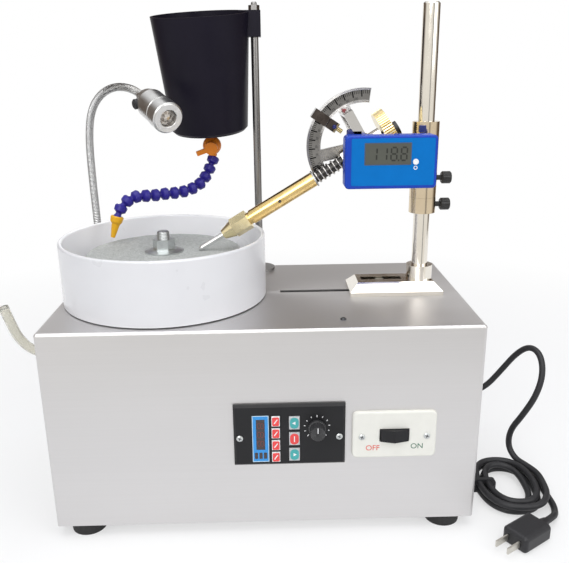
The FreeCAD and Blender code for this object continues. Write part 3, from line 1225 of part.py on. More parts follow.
chuck_hex_body = plate("chuck_hex", hexagon(chuck_flats), chuck_hex, (0, 0, 0))
pose(chuck_hex_body, pivot + arm_heading * float(chuck_start), arm_rotation)
chuck_nose_body = lathe("chuck_nose", [
    (0, chuck_start + chuck_hex - 1), (chuck_flats / 2, chuck_start + chuck_hex - 1),
    (chuck_flats / 2, chuck_start + chuck_hex), (chuck_nose, chuck_start + chuck_hex + chuck_taper),
    (0, chuck_start + chuck_hex + chuck_taper)], at_pivot, ARM)
dop_start = chuck_start + 4
dop_bore = lathe("dop_bore", [
    (0, dop_start), (dop_radius, dop_start), (dop_radius, dop_start + 60), (0, dop_start + 60)], at_pivot, ARM)
keep("chuck", cut("chuck", fuse("chuck_whole", chuck_hex_body, chuck_nose_body), dop_bore))
drop = math.radians(float(arm_drop))
tip_radius = 0.8
dop_tip = (pivot_z - lap_z - dop_above) / math.sin(drop) - tip_radius / math.tan(drop)
keep("dop", lathe("dop", [
    (0, dop_start), (dop_radius, dop_start), (dop_radius, dop_tip - 4), (tip_radius + 0 * dop_radius, dop_tip), (0, dop_tip)],
    at_pivot, ARM))
corners = []
tooth_count = int(float(wheel_teeth))
for index in range(tooth_count):
    for share, radius in ((0, wheel_radius), (0.45, wheel_radius), (0.72, wheel_radius - tooth_depth)):
        angle = 2 * math.pi * (index + share) / tooth_count
        corners.append(Vector(float(radius) * math.cos(angle), float(radius) * math.sin(angle), float(wheel_back)))
corners.append(corners[0])
wheel = Part.Face(Part.makePolygon(corners)).extrude(Vector(0, 0, float(wheel_width)))
wheel = wheel.cut(Part.makeCylinder(float(quill_radius), 40, Vector(0, 0, float(wheel_back)), Z_AXIS))
wheel = wheel.fuse(Part.makeCylinder(float(end_knob_radius), float(end_knob_length),
                                     Vector(0, 0, float(wheel_back) - float(end_knob_length)), Z_AXIS))
keep("index_wheel", place(shaped("index_wheel", wheel), at_pivot, ARM))

# Spring: one unbroken coil between the yoke and the thrust washer
coil_start = float(yoke_front) + 1.2
coil_length = float(barrel_start - thrust_thickness - rest_gap) - 1.2 - coil_start
coil_turns = float(spring_turns)
coil_r = float(spring_radius)
coil_edges = []
coil_steps = int(coil_turns * 2)
rise = coil_length / coil_steps
for step in range(coil_steps):
    ends = []
    for share in (0, 0.5, 1):
        angle = math.pi * (step + share)
        ends.append(Vector(coil_r * math.cos(angle), coil_r * math.sin(angle), coil_start + rise * (step + share)))
    slope = rise / (math.pi * coil_r)
    headings = []
    for share in (0, 1):
        angle = math.pi * (step + share)
        headings.append(Vector(-math.sin(angle), math.cos(angle), slope).normalize())
    coil_edges += biarc(ends[0], headings[0], ends[2], headings[1])
coil_wire = Part.Wire(coil_edges)
coil_points = coil_wire.discretize(Distance=1)
print("spring least gap", round(least_gap(coil_points, 2 * float(spring_wire), 20), 2))
keep("quill_spring", place(shaped("quill_spring", tube("spring", coil_wire, spring_wire)), at_pivot, ARM))

# Checks, and one STEP file for each sub-part
doc.recompute()
for thing in doc.Objects:
    if "Invalid" in thing.State or "Error" in thing.State:
        raise RuntimeError("%s is %s" % (thing.Name, thing.State))
os.makedirs("parts", exist_ok=True)
for label, thing in nodes.items():
    if thing.Shape.isNull() or not thing.Shape.isValid():
        raise RuntimeError(label + " has a bad shape")
    thing.Shape.exportStep("parts/%s.step" % label)
print(len(nodes), "sub-parts written")
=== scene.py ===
import math
import bmesh
import bpy
from mathutils import Matrix, Vector


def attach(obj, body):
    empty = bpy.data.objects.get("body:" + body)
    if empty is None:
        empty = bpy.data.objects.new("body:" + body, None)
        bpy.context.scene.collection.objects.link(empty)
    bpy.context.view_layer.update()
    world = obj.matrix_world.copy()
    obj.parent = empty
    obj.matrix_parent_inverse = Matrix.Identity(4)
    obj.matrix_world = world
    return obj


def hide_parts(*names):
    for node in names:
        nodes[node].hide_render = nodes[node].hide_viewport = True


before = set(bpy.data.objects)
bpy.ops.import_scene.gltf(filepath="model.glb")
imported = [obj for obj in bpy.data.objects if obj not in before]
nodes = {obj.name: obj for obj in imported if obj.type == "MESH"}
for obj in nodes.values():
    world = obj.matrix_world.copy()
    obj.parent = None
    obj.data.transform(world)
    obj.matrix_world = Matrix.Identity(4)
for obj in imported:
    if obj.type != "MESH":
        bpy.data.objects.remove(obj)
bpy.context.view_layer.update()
MM = 0.001

# Camera and studio: a lens of about 43 mm stands 0.66 m before the middle of the box and looks down.
# The table is a plain white sweep that runs up behind the machine.
PHOTO_WIDTH = 569
FOCAL_PIXELS = 674.0
SENSOR_WIDTH = 36
camera_place = Vector((8.62, -656.58, 424.67)) * MM
pitch, yaw, roll = math.radians(17.262), math.radians(1.217), math.radians(0.701)
ahead = Vector((math.sin(yaw), math.cos(yaw), 0))
forward = ahead * math.cos(pitch) - Vector((0, 0, math.sin(pitch)))
level = Vector((math.cos(yaw), -math.sin(yaw), 0))
sinking = forward.cross(level)
right = level * math.cos(roll) + sinking * math.sin(roll)
down = sinking * math.cos(roll) - level * math.sin(roll)
lens = bpy.data.cameras.new("photo_camera")
lens.sensor_fit = "HORIZONTAL"
lens.sensor_width = SENSOR_WIDTH
lens.lens = FOCAL_PIXELS / PHOTO_WIDTH * SENSOR_WIDTH
lens.clip_start = 0.01
camera = bpy.data.objects.new("photo_camera", lens)
turn = Matrix((right, -down, -forward)).transposed()
camera.matrix_world = Matrix.Translation(camera_place) @ turn.to_4x4()
bpy.context.collection.objects.link(camera)
bpy.context.scene.camera = camera
bpy.context.scene.view_settings.view_transform = "Standard"


class Shade:
    """A shader socket that can be added, scaled and mixed like a number."""

    def __init__(self, tree, socket):
        self.tree = tree
        self.socket = socket

    def node(self, kind, settings=None, out=0, **links):
        """Adds a node: its settings first, then the values or links of its sockets."""
        node = self.tree.nodes.new("ShaderNode" + kind)
        for name, value in (settings or {}).items():
            setattr(node, name, value)
        for name, value in links.items():
            key = int(name[1:]) if name[0] == "i" and name[1:].isdigit() else name.replace("_", " ")
            if isinstance(value, Shade):
                self.tree.links.new(value.socket, node.inputs[key])
            else:
                node.inputs[key].default_value = value
        return Shade(self.tree, node.outputs[out])

    def maths(self, operation, other, swap=False):
        pair = (other, self) if swap else (self, other)
        return self.node("Math", {"operation": operation}, i0=pair[0], i1=pair[1])

    def __add__(self, other):
        return self.maths("ADD", other)

    def __sub__(self, other):
        return self.maths("SUBTRACT", other)

    def __rsub__(self, other):
        return self.maths("SUBTRACT", other, True)

    def __mul__(self, other):
        return self.maths("MULTIPLY", other)

    def __gt__(self, other):
        return self.maths("GREATER_THAN", other)

    def __lt__(self, other):
        return self.maths("LESS_THAN", other)

    def noise(self, scale, detail=3.0, roughness=0.5):
        return self.node("TexNoise", Vector=self, Scale=scale, Detail=detail, Roughness=roughness)

    def stretch(self, scale, place=(0, 0, 0), turned=(0, 0, 0)):
        return self.node("Mapping", Vector=self, Location=place, Rotation=turned, Scale=scale)

    def part(self, axis):
        return self.node("SeparateXYZ", {}, "XYZ".index(axis), Vector=self)

    def length(self):
        return self.node("VectorMath", {"operation": "LENGTH"}, 1, i0=self)

    def bearing(self):
        """The angle in the upright plane that faces the front."""
        return self.node("Math", {"operation": "ARCTAN2"}, i0=self.part("Z"), i1=self.part("X"))

    def sine(self, count):
        wave = self * count
        return wave.node("Math", {"operation": "SINE"}, i0=wave)

    def between(self, dark, light):
        """Mixes two colours, fixed or varying, by this value."""
        ends = [end if isinstance(end, Shade) else (*end, 1) for end in (dark, light)]
        return self.node("Mix", {"data_type": "RGBA"}, 2, i0=self, i6=ends[0], i7=ends[1])


def finish(name, **fixed):
    """A new material, its main shader with the values that are the same all over, and its place."""
    material = bpy.data.materials.new(name)
    material.use_nodes = True
    shader = material.node_tree.nodes["Principled BSDF"]
    for key, value in fixed.items():
        shader.inputs[key.replace("_", " ")].default_value = value
    coordinates = material.node_tree.nodes.new("ShaderNodeTexCoord")
    place = Shade(material.node_tree, coordinates.outputs["Object"])
    return material, shader, place


def drive(shader, place, **sockets):
    """Links what changes over the surface to the main shader."""
    for key, value in sockets.items():
        place.tree.links.new(value.socket, shader.inputs[key.replace("_", " ")])


def grain(place, height, strength, distance):
    """A bump, as deep as the distance in metres, for the shader's normal."""
    return place.node("Bump", Height=height, Strength=strength, Distance=distance)


def coat(material, *names):
    """Puts a material on CAD nodes."""
    for name in names:
        for socket in nodes[name].material_slots:
            socket.material = material


def new_piece(name, mesh, material, body):
    """Makes a finished bmesh an object that rides on a body."""
    bmesh.ops.recalc_face_normals(mesh, faces=mesh.faces)
    data = bpy.data.meshes.new(name)
    mesh.to_mesh(data)
    mesh.free()
    data.materials.append(material)
    piece = bpy.data.objects.new(name, data)
    bpy.context.collection.objects.link(piece)
    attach(piece, body)


floor_paint, floor_shader, floor_place = finish("white_sweep", Roughness=0.75)
floor_white = floor_place.noise(3.0).between((0.78, 0.78, 0.78), (0.82, 0.82, 0.82))
drive(floor_shader, floor_place, Base_Color=floor_white)
seen = floor_place.node("LightPath", out="Is Camera Ray") + floor_place.node("LightPath", out="Is Glossy Ray")
seen = seen + floor_place.node("LightPath", out="Is Transmission Ray")
paper = floor_place.node("Emission", Color=(1, 1, 1, 1), Strength=1.0)
lit = Shade(floor_paint.node_tree, floor_shader.outputs[0])
paleness = floor_place.node("MapRange", Value=floor_place.length(), From_Min=0.4, From_Max=1.0,
                            To_Min=0.5, To_Max=1.0)
sheet = floor_place.node("MixShader", i0=seen * paleness, i1=lit, i2=paper)
surface = floor_paint.node_tree.nodes["Material Output"].inputs["Surface"]
floor_paint.node_tree.links.new(sheet.socket, surface)
SWEEP_HALF = 1.3
sweep = bmesh.new()
edge = []
for y, z in ((-0.52, 0), (1.1, 0), (1.5, 0.12), (1.75, 0.45), (1.8, 0.72)):
    edge.append(sweep.verts.new((-SWEEP_HALF, y, z)))
for first, second in zip(edge, edge[1:]):
    sweep.edges.new((first, second))
pulled = bmesh.ops.extrude_edge_only(sweep, edges=sweep.edges)
moved = [item for item in pulled["geom"] if isinstance(item, bmesh.types.BMVert)]
bmesh.ops.translate(sweep, verts=moved, vec=(2 * SWEEP_HALF, 0, 0))
data = bpy.data.meshes.new("white_sweep")
sweep.to_mesh(data)
sweep.free()
data.materials.append(floor_paint)
data.polygons.foreach_set("use_smooth", [True] * len(data.polygons))
table = bpy.data.objects.new("white_sweep", data)
bpy.context.collection.objects.link(table)
world = bpy.data.worlds.new("studio")
bpy.context.scene.world = world
world.use_nodes = True
sky = Shade(world.node_tree, world.node_tree.nodes.new("ShaderNodeTexCoord").outputs["Generated"])
window = sky.part("Y") * -2.2 + 0.5
overhead = sky.part("Z") * 4.0 - 2.0
curtain = (sky.part("X") > 0.24) * (sky.part("X") < 0.46) * (sky.part("Y") < 0.0) * 0.7
room = window.between((0.13, 0.095, 0.07), (0.90, 0.88, 0.84))
room = overhead.between(curtain.between(room, (0.22, 0.22, 0.23)), (1, 1, 1))
room = sky.node("LightPath", out="Is Glossy Ray").between((0.60, 0.61, 0.64), room)
room = sky.node("LightPath", out="Is Camera Ray").between(room, (1, 1, 1))
world.node_tree.links.new(room.socket, world.node_tree.nodes["Background"].inputs["Color"])
for name, place, target, wide, power in (
        ("key_softbox", (-0.5, -1.6, 1.1), (0, 0, 0.25), 1.0, 12),
        ("fill_softbox", (1.2, -0.9, 0.9), (0, 0, 0.2), 1.0, 5),
        ("top_softbox", (0.0, -0.3, 1.7), (0, 0, 0.2), 1.4, 14)):
    lamp = bpy.data.lights.new(name, "AREA")
    lamp.size = wide
    lamp.energy = power
    light = bpy.data.objects.new(name, lamp)
    light.location = place
    light.rotation_euler = (Vector(target) - Vector(place)).to_track_quat("-Z", "Y").to_euler()
    bpy.context.collection.objects.link(light)

# Mains cord: a round black rubber lead that leaves the gland in the right wall, stands up in a loop,
# and lies on the table as a tied hank of four turns with its plug in front.
CORD_DIAMETER = 6.6 * MM
hank_x, hank_y = 254, -48
hank_long, hank_wide = 48, 36
hank_step, hank_rise = 9.2, 7.8
hank_right = hank_x + hank_wide
low_z = 3.5
high_z = low_z + hank_rise
cord_points = [(226, 45, 68), (239, 45, 68), (255, 43.5, 77), (269, 40, 98), (282, 34, 121), (292, 23, 134),
               (298, 7, 131), (297, -7, 114), (290, -11, 90), (279, -6, 64), (271.5, 3, 43), (270.5, 4, 22.7),
               (hank_right - 14.2, hank_y + 41.6, 11.9), (hank_right - 6, hank_y + 28, 11.5),
               (hank_right, hank_y + 14, high_z)]
TURNS = 4
STEPS = 16
for step in range(TURNS * STEPS + 1):
    done = step / STEPS
    inset = hank_step * (2 - abs(done - 2))
    angle = -2 * math.pi * done
    swing, rise = math.cos(angle), math.sin(angle)
    across = (hank_wide - inset) * math.copysign(abs(swing) ** 0.85, swing)
    along = (hank_long - inset) * math.copysign(abs(rise) ** 0.85, rise)
    fall = min(1, max(0, (done - 1.75) / 0.5))
    cord_points.append((hank_x + across, hank_y + along, high_z + (low_z - high_z) * fall))
PLUG_Z = 8.5
cord_points += [(hank_right, hank_y - 16, low_z), (hank_right - 0.5, hank_y - 32, low_z + 1),
                (hank_right - 4, hank_y - 46, PLUG_Z - 3.5), (hank_right - 11, hank_y - 57, PLUG_Z),
                (hank_right - 21, hank_y - 63.5, PLUG_Z)]


def lay_route(name, points, diameter):
    """A smooth round cord whose control points are the route's points."""
    curve = bpy.data.curves.new(name, "CURVE")
    curve.dimensions = "3D"
    curve.bevel_depth = diameter / 2
    curve.bevel_resolution = 5
    curve.resolution_u = 8
    spline = curve.splines.new("NURBS")
    spline.points.add(len(points) - 1)
    for knot, point in zip(spline.points, points):
        knot.co = (*(Vector(point) * MM), 1)
    spline.order_u = 3
    spline.use_endpoint_u = True
    piece = bpy.data.objects.new(name, curve)
    bpy.context.collection.objects.link(piece)
    return piece


cord_rubber, shader, place = finish("cord_rubber", Specular_IOR_Level=0.35)
speckle = place.noise(900.0)
drive(shader, place, Base_Color=place.noise(60.0).between((0.012, 0.012, 0.014), (0.03, 0.03, 0.033)),
      Roughness=speckle * 0.2 + 0.38, Normal=grain(place, speckle, 0.12, 0.0002))
cord = lay_route("mains_cord_line", cord_points, CORD_DIAMETER)
cord.data.materials.append(cord_rubber)
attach(cord, "base")
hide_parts("mains_cord", "cord_hank")
coat(cord_rubber, "cord_gland", "lamp_switch")
plug_rubber, shader, place = finish("plug_rubber", Specular_IOR_Level=0.35)
PLUG_END = Vector(cord_points[-1]) * MM
plug_along = place.stretch((1, 1, 1), tuple(-PLUG_END))
PLUG_HEADING = (-0.84, -0.545, 0)
plug_along = plug_along.node("VectorMath", {"operation": "DOT_PRODUCT"}, 1, i0=plug_along, i1=PLUG_HEADING)
pins = plug_along > 48.6 * MM
speckle = place.noise(900.0)
plug_body = speckle.between((0.012, 0.012, 0.014), (0.03, 0.03, 0.033))
drive(shader, place, Base_Color=pins.between(plug_body, (0.62, 0.60, 0.55)),
      Roughness=speckle * 0.2 + 0.3, Metallic=pins, Normal=grain(place, speckle, 0.12, 0.0002))
coat(plug_rubber, "mains_plug")

# Tie: a black rubber band that holds the runs of the hank together on its left side.
tie = bmesh.new()
bmesh.ops.create_cube(tie, size=1)
bmesh.ops.scale(tie, vec=Vector((26.6, 4.5, 15.2)) * MM, verts=tie.verts)
bmesh.ops.translate(tie, vec=Vector((hank_x - hank_wide + 9.2, hank_y, 7.75)) * MM, verts=tie.verts)
long_edges = [edge for edge in tie.edges if abs(edge.verts[0].co.y - edge.verts[1].co.y) > 3 * MM]
bmesh.ops.bevel(tie, geom=long_edges, offset=4.5 * MM, segments=5, profile=0.5, affect="EDGES", material=-1)
new_piece("hank_tie", tie, cord_rubber, "base")

# Drain hose: a short length of clear tube pushed on the barb of the drain, with a cut free end.
HOSE_DIAMETER = 9.5 * MM
hose_points = [(-203, -31, 160), (-217, -31, 160), (-231, -33, 166), (-240, -36, 180), (-244, -39, 196),
               (-248, -41, 213)]
clear_tube, shader, place = finish("clear_tube", IOR=1.45, Transmission_Weight=0.75)
cloud = place.noise(70.0)
drive(shader, place, Base_Color=cloud.between((0.86, 0.84, 0.76), (0.93, 0.92, 0.86)),
      Roughness=cloud * 0.15 + 0.12)
hose = lay_route("drain_hose_line", hose_points, HOSE_DIAMETER)
hose.data.materials.append(clear_tube)
wall = hose.modifiers.new("wall", "SOLIDIFY")
wall.thickness = 1.2 * MM
wall.offset = -1
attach(hose, "base")
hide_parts("drain_hose")

# Casing: a box of folded stainless sheet, brushed along its length, on a base plate with four
# rubber feet. One small screw shows on its top.
stainless, shader, place = finish("brushed_stainless", Metallic=1.0, Anisotropic=0.4)
brush = place.stretch((4, 700, 700)).noise(1.0, 4.0, 0.6)
cloud = place.stretch((3, 5, 7)).noise(1.0)
drive(shader, place, Base_Color=(brush * 0.4 + cloud * 0.6).between((0.62, 0.61, 0.61), (0.74, 0.73, 0.735)),
      Roughness=brush * 0.12 + cloud * 0.08 + 0.34, Normal=grain(place, brush, 0.04, 0.0002))
coat(stainless, "casing_shell", "base_plate")
foot_rubber, shader, place = finish("foot_rubber", Specular_IOR_Level=0.3)
speckle = place.noise(700.0)
drive(shader, place, Base_Color=speckle.between((0.012, 0.012, 0.012), (0.035, 0.035, 0.035)),
      Roughness=speckle * 0.25 + 0.55, Normal=grain(place, speckle, 0.2, 0.0003))
coat(foot_rubber, "rubber_feet")


def turned_piece(profile, steps=48):
    """A closed round form spun about Z from a profile of radius and height, in millimetres."""
    mesh = bmesh.new()
    corners = [mesh.verts.new((radius * MM, 0, height * MM)) for radius, height in profile]
    edges = [mesh.edges.new(pair) for pair in zip(corners, corners[1:])]
    bmesh.ops.spin(mesh, geom=corners + edges, cent=(0, 0, 0), axis=(0, 0, 1), angle=2 * math.pi, steps=steps,
                   use_merge=True)
    bmesh.ops.remove_doubles(mesh, verts=mesh.verts, dist=1e-6)
    return mesh


def aim(mesh, heading, place):
    """Turns a form's own Z along a heading and moves it to a place given in millimetres."""
    turn = Vector(heading).to_track_quat("Z", "Y").to_matrix().to_4x4()
    bmesh.ops.transform(mesh, verts=mesh.verts, matrix=Matrix.Translation(Vector(place) * MM) @ turn)


dark_steel, shader, place = finish("dark_steel", Metallic=1.0)
smear = place.noise(250.0)
drive(shader, place, Base_Color=smear.between((0.05, 0.05, 0.055), (0.11, 0.11, 0.115)),
      Roughness=smear * 0.3 + 0.3)
CASING_TOP = 209
top_screw = turned_piece([(0, 1.6), (1.6, 1.6), (2.6, 0.9), (2.8, 0), (0, 0)], 24)
aim(top_screw, (0, 0, 1), (74, -82, CASING_TOP))
new_piece("top_screw", top_screw, dark_steel, "base")

# Splash pan: a white moulded bowl round the lap, painted whiter in the bowl than outside as painted light,
# seated on a dark bead that stands in for the shadow line at its foot.
LAP_X, LAP_Y = -98, 3.5
PAN_INSIDE = 99.6
pan_white, shader, place = finish("pan_white", Coat_Weight=0.4, Coat_Roughness=0.08)
haze = place.noise(25.0)
# The bowl's whiter inner surface is painted light, standing in for light falling into it.
painted_light_inside = place.stretch((1, 1, 0), (-LAP_X * MM, -LAP_Y * MM, 0)).length() < PAN_INSIDE * MM
outer_white = haze.between((0.66, 0.66, 0.675), (0.71, 0.71, 0.725))
painted_lit_inner_white = haze.between((0.92, 0.92, 0.93), (0.95, 0.95, 0.96))
drive(shader, place, Base_Color=painted_light_inside.between(outer_white, painted_lit_inner_white), Roughness=haze * 0.15 + 0.22)
coat(pan_white, "splash_pan", "drain_elbow")
# A dark ring under the pan's foot, as painted shade standing in for the shadow line there.
foot_shade = turned_piece([(98.4, 0.05), (100.6, 0.05), (101.2, 0.5), (100.9, 1.0), (98.4, 1.0), (98.4, 0.05)], 128)
aim(foot_shade, (0, 0, 1), (LAP_X, LAP_Y, CASING_TOP))
new_piece("pan_foot_shadow_line", foot_shade, foot_rubber, "base")

# Lap: a flat grey abrasive disc on an aluminium platen, held by a stepped zinc washer and a nut.
lap_grey, shader, place = finish("lap_grey", Specular_IOR_Level=0.3)
rings = place.stretch((1, 1, 0), (-LAP_X * MM, -LAP_Y * MM, 0)).length().sine(2600.0)
grit = place.noise(420.0, 5.0, 0.7) * 3.6 - 1.3
patch = place.noise(18.0)
worn = grit * 0.45 + patch * 0.4 + rings * 0.05
drive(shader, place, Base_Color=worn.between((0.24, 0.25, 0.24), (0.60, 0.615, 0.60)),
      Roughness=patch * 0.2 + 0.5, Normal=grain(place, grit, 0.25, 0.0003))
coat(lap_grey, "lap_disc")
zinc, shader, place = finish("zinc_plate", Metallic=1.0)
smear = place.stretch((300, 300, 900)).noise(1.0)
drive(shader, place, Base_Color=smear.between((0.46, 0.48, 0.48), (0.70, 0.73, 0.73)),
      Roughness=smear * 0.2 + 0.26)
coat(zinc, "lap_washer", "lap_nut", "clamp_bolt", "panel_screws")
steel, shader, place = finish("turned_steel", Metallic=1.0)
# Thread grooves and crests are painted a little darker and lighter, as painted shade and highlight, over the
# smear.
thread = place.part("Z").sine(4200.0)
smear = place.noise(120.0)
smear_and_thread_shade = smear * 0.7 + thread * 0.15 + 0.1
drive(shader, place, Base_Color=smear_and_thread_shade.between((0.34, 0.35, 0.35), (0.62, 0.63, 0.63)),
      Roughness=smear * 0.18 + 0.2, Normal=grain(place, thread, 0.6, 0.0004))
coat(steel, "spindle", "spindle_bearings", "thrust_washer")
rod_steel, shader, place = finish("rod_steel", Metallic=1.0)
smear = place.stretch((40, 40, 6)).noise(1.0)
drive(shader, place, Base_Color=smear.between((0.19, 0.185, 0.185), (0.32, 0.315, 0.31)),
      Roughness=smear * 0.15 + 0.2)
coat(rod_steel, "tank_rod", "rod_nuts")
motor_paint, shader, place = finish("motor_paint")
peel = place.noise(400.0)
drive(shader, place, Base_Color=peel.between((0.05, 0.055, 0.06), (0.08, 0.085, 0.09)),
      Roughness=peel * 0.2 + 0.35)
coat(motor_paint, "motor_housing")

# Control panel: a black bevelled plate with a blue-framed display, four red keys, three function
# keys and a knob. The controller behind it is a black box.
black_plastic, shader, place = finish("black_plastic", Specular_IOR_Level=0.25)
leather = place.noise(1200.0)
haze = place.noise(30.0)
drive(shader, place, Base_Color=haze.between((0.008, 0.008, 0.009), (0.018, 0.018, 0.020)),
      Roughness=leather * 0.15 + 0.28, Normal=grain(place, leather, 0.06, 0.0002))
coat(black_plastic, "control_panel", "controller_box", "switch_rocker")
PANEL_FRONT = -109.0


def slab(name, low, high, bevel, material, body):
    """A bevelled block between two corners in millimetres."""
    mesh = bmesh.new()
    bmesh.ops.create_cube(mesh, size=1)
    span = Vector(high) - Vector(low)
    bmesh.ops.scale(mesh, vec=span * MM, verts=mesh.verts)
    bmesh.ops.translate(mesh, vec=(Vector(low) + Vector(high)) * 0.5 * MM, verts=mesh.verts)
    bmesh.ops.bevel(mesh, geom=mesh.edges, offset=bevel * MM, segments=2, profile=0.5, affect="EDGES",
                    material=-1)
    new_piece(name, mesh, material, body)


def badge(name, centre, wide, tall, corner, thick, material, body, turned=0.0):
    """A flat printed or moulded shape with rounded corners that faces the front."""
    mesh = bmesh.new()
    bmesh.ops.create_cube(mesh, size=1)
    bmesh.ops.scale(mesh, vec=Vector((wide, thick, tall)) * MM, verts=mesh.verts)
    posts = [edge for edge in mesh.edges
             if abs(edge.verts[0].co.y - edge.verts[1].co.y) > 0.5 * thick * MM]
    bmesh.ops.bevel(mesh, geom=posts, offset=corner * MM, segments=4, profile=0.5, affect="EDGES",
                    material=-1)
    lean = Matrix.Rotation(math.radians(turned), 3, "Y")
    bmesh.ops.rotate(mesh, cent=(0, 0, 0), matrix=lean, verts=mesh.verts)
    bmesh.ops.translate(mesh, vec=(Vector(centre) - Vector((0, thick / 2, 0))) * MM, verts=mesh.verts)
    new_piece(name, mesh, material, body)


def seven_segments(name, text, centre, wide, tall, stroke, slant, material, body, turned=0.0):
    """Figures of a segment display, built from short bars in one mesh."""
    bars = {"top": (0, 1, True), "middle": (0, 0, True), "bottom": (0, -1, True),
            "right_up": (1, 0.5, False), "right_down": (1, -0.5, False),
            "left_up": (-1, 0.5, False), "left_down": (-1, -0.5, False)}
    figures = {"1": ("right_up", "right_down"), "8": tuple(bars)}
    mesh = bmesh.new()
    step = wide * 1.75
    start = -step * (len(text.replace(".", "")) - 1) / 2
    for figure in text:
        if figure == ".":
            spots = [(start - step / 2, -tall / 2, stroke, stroke)]
        else:
            spots = []
            for across, up, flat in (bars[bar] for bar in figures[figure]):
                size = (wide - stroke, stroke) if flat else (stroke, tall / 2 - stroke)
                spots.append((start + across * wide / 2, up * tall / 2, *size))
            start += step
        for x, z, long, high in spots:
            bar = bmesh.ops.create_cube(mesh, size=1)["verts"]
            bmesh.ops.scale(mesh, vec=Vector((long, 0.08, high)) * MM, verts=bar)
            bmesh.ops.translate(mesh, vec=Vector((x + z * slant, 0, z)) * MM, verts=bar)
    lean = Matrix.Rotation(math.radians(turned), 3, "Y")
    bmesh.ops.rotate(mesh, cent=(0, 0, 0), matrix=lean, verts=mesh.verts)
    bmesh.ops.translate(mesh, vec=Vector(centre) * MM, verts=mesh.verts)
    new_piece(name, mesh, material, body)


def glossy(name, dark, light, rough, coat_weight=0.3, shine=0.5):
    """A moulded plastic or keypad film of one colour with a faint cloud in it."""
    material, shader, place = finish(name, Coat_Weight=coat_weight, Coat_Roughness=0.1,
                                     Specular_IOR_Level=shine)
    cloud = place.noise(90.0)
    fine = place.noise(1400.0)
    drive(shader, place, Base_Color=cloud.between(dark, light), Roughness=cloud * 0.12 + rough,
          Normal=grain(place, fine, 0.05, 0.0002))
    return material


def key_front(name):
    """The middle of a key's front face in millimetres, with room for a film on it."""
    corners = [Vector(corner) / MM for corner in nodes[name].bound_box]
    low = Vector([min(corner[axis] for corner in corners) for axis in range(3)])
    high = Vector([max(corner[axis] for corner in corners) for axis in range(3)])
    return Vector(((low.x + high.x) / 2, low.y + 0.04, (low.z + high.z) / 2))


key_red = glossy("key_red", (0.66, 0.035, 0.035), (0.80, 0.055, 0.055), 0.25)
key_teal = glossy("key_teal", (0.03, 0.30, 0.30), (0.05, 0.40, 0.40), 0.25)
key_grey = glossy("key_grey", (0.42, 0.43, 0.44), (0.52, 0.53, 0.54), 0.25)
frame_blue = glossy("display_blue", (0.015, 0.22, 0.58), (0.02, 0.28, 0.68), 0.3)
frame_pale = glossy("display_pale", (0.45, 0.62, 0.75), (0.52, 0.70, 0.82), 0.3)
screen_dark = glossy("display_dark", (0.012, 0.005, 0.007), (0.022, 0.008, 0.010), 0.08, 0.8)
segment_red = glossy("display_segments", (0.10, 0.022, 0.024), (0.13, 0.028, 0.03), 0.3)
print_white = glossy("print_white", (0.74, 0.74, 0.74), (0.84, 0.84, 0.84), 0.4, 0.0)
coat(key_grey, *["function_key_%d" % index for index in (1, 2, 3)])
coat(print_white, *["small_key_%d" % index for index in (1, 2, 3, 4)])
for index in (1, 2, 3, 4):
    key = "small_key_%d" % index
    middle = key_front(key)
    badge(key + "_film", middle, 6.4, 8.8, 1.3, 0.18, key_red, key + "_body")
    badge(key + "_mark", middle - Vector((0, 0.14, 0)), 0.9, 5.4, 0.4, 0.1, print_white, key + "_body",
          35)
for index, film, slot in ((1, key_teal, "teal_plastic"), (2, key_red, "red_plastic"),
                          (3, key_teal, "teal_plastic")):
    key = "function_key_%d" % index
    middle = key_front(key)
    badge(key + "_film", middle, 8.0, 11.0, 3.6, 0.18, film, key + "_body")
    if index == 2:
        badge(key + "_mark", middle - Vector((0, 0.14, 0)), 0.9, 6.0, 0.4, 0.1, print_white, key + "_body")
        continue
    arrow = bmesh.new()
    bmesh.ops.create_cone(arrow, cap_ends=True, segments=3, radius1=2.0 * MM, radius2=2.0 * MM,
                          depth=0.1 * MM)
    quarter = math.pi / 2 if index == 1 else -math.pi / 2
    bmesh.ops.rotate(arrow, cent=(0, 0, 0), matrix=Matrix.Rotation(quarter, 3, "Z"), verts=arrow.verts)
    aim(arrow, (0, -1, 0), middle - Vector((0, 0.2, 0)))
    new_piece(key + "_mark", arrow, print_white, key + "_body")
for name, low, high, material in (
        ("display_frame_left", (-10.3, 80.6), (-7.4, 126.6), frame_blue),
        ("display_frame_right", (0.6, 80.6), (3.5, 126.6), frame_blue),
        ("display_frame_top", (-7.4, 123.4), (0.6, 126.6), frame_blue),
        ("display_frame_bottom", (-7.4, 80.6), (0.6, 92.4), frame_blue),
        ("display_edge_left", (-11, 79.9), (-10.3, 127.3), frame_pale),
        ("display_edge_right", (3.5, 79.9), (4.2, 127.3), frame_pale),
        ("display_edge_top", (-10.3, 126.6), (3.5, 127.3), frame_pale),
        ("display_edge_bottom", (-10.3, 79.9), (3.5, 80.6), frame_pale)):
    near = (low[0], PANEL_FRONT - 0.2, low[1])
    far = (high[0], PANEL_FRONT + 0.8, high[1])
    slab(name, near, far, 0.2, material, "base")
slab("display_window", (-7.4, PANEL_FRONT + 0.15, 92.4), (0.6, PANEL_FRONT + 0.8, 123.4), 0.1, screen_dark,
     "base")
seven_segments("display_figures", "888", (-3.4, PANEL_FRONT + 0.12, 107.9), 5.2, 5.6, 0.7, 0.08, segment_red,
               "base", 90)
for index in range(3):
    spot = (-7.6 + 4.2 * index, PANEL_FRONT - 0.15, 86.4)
    badge("display_lamp_%d" % (index + 1), spot, 3.0, 6.4, 0.3, 0.12, screen_dark, "base")

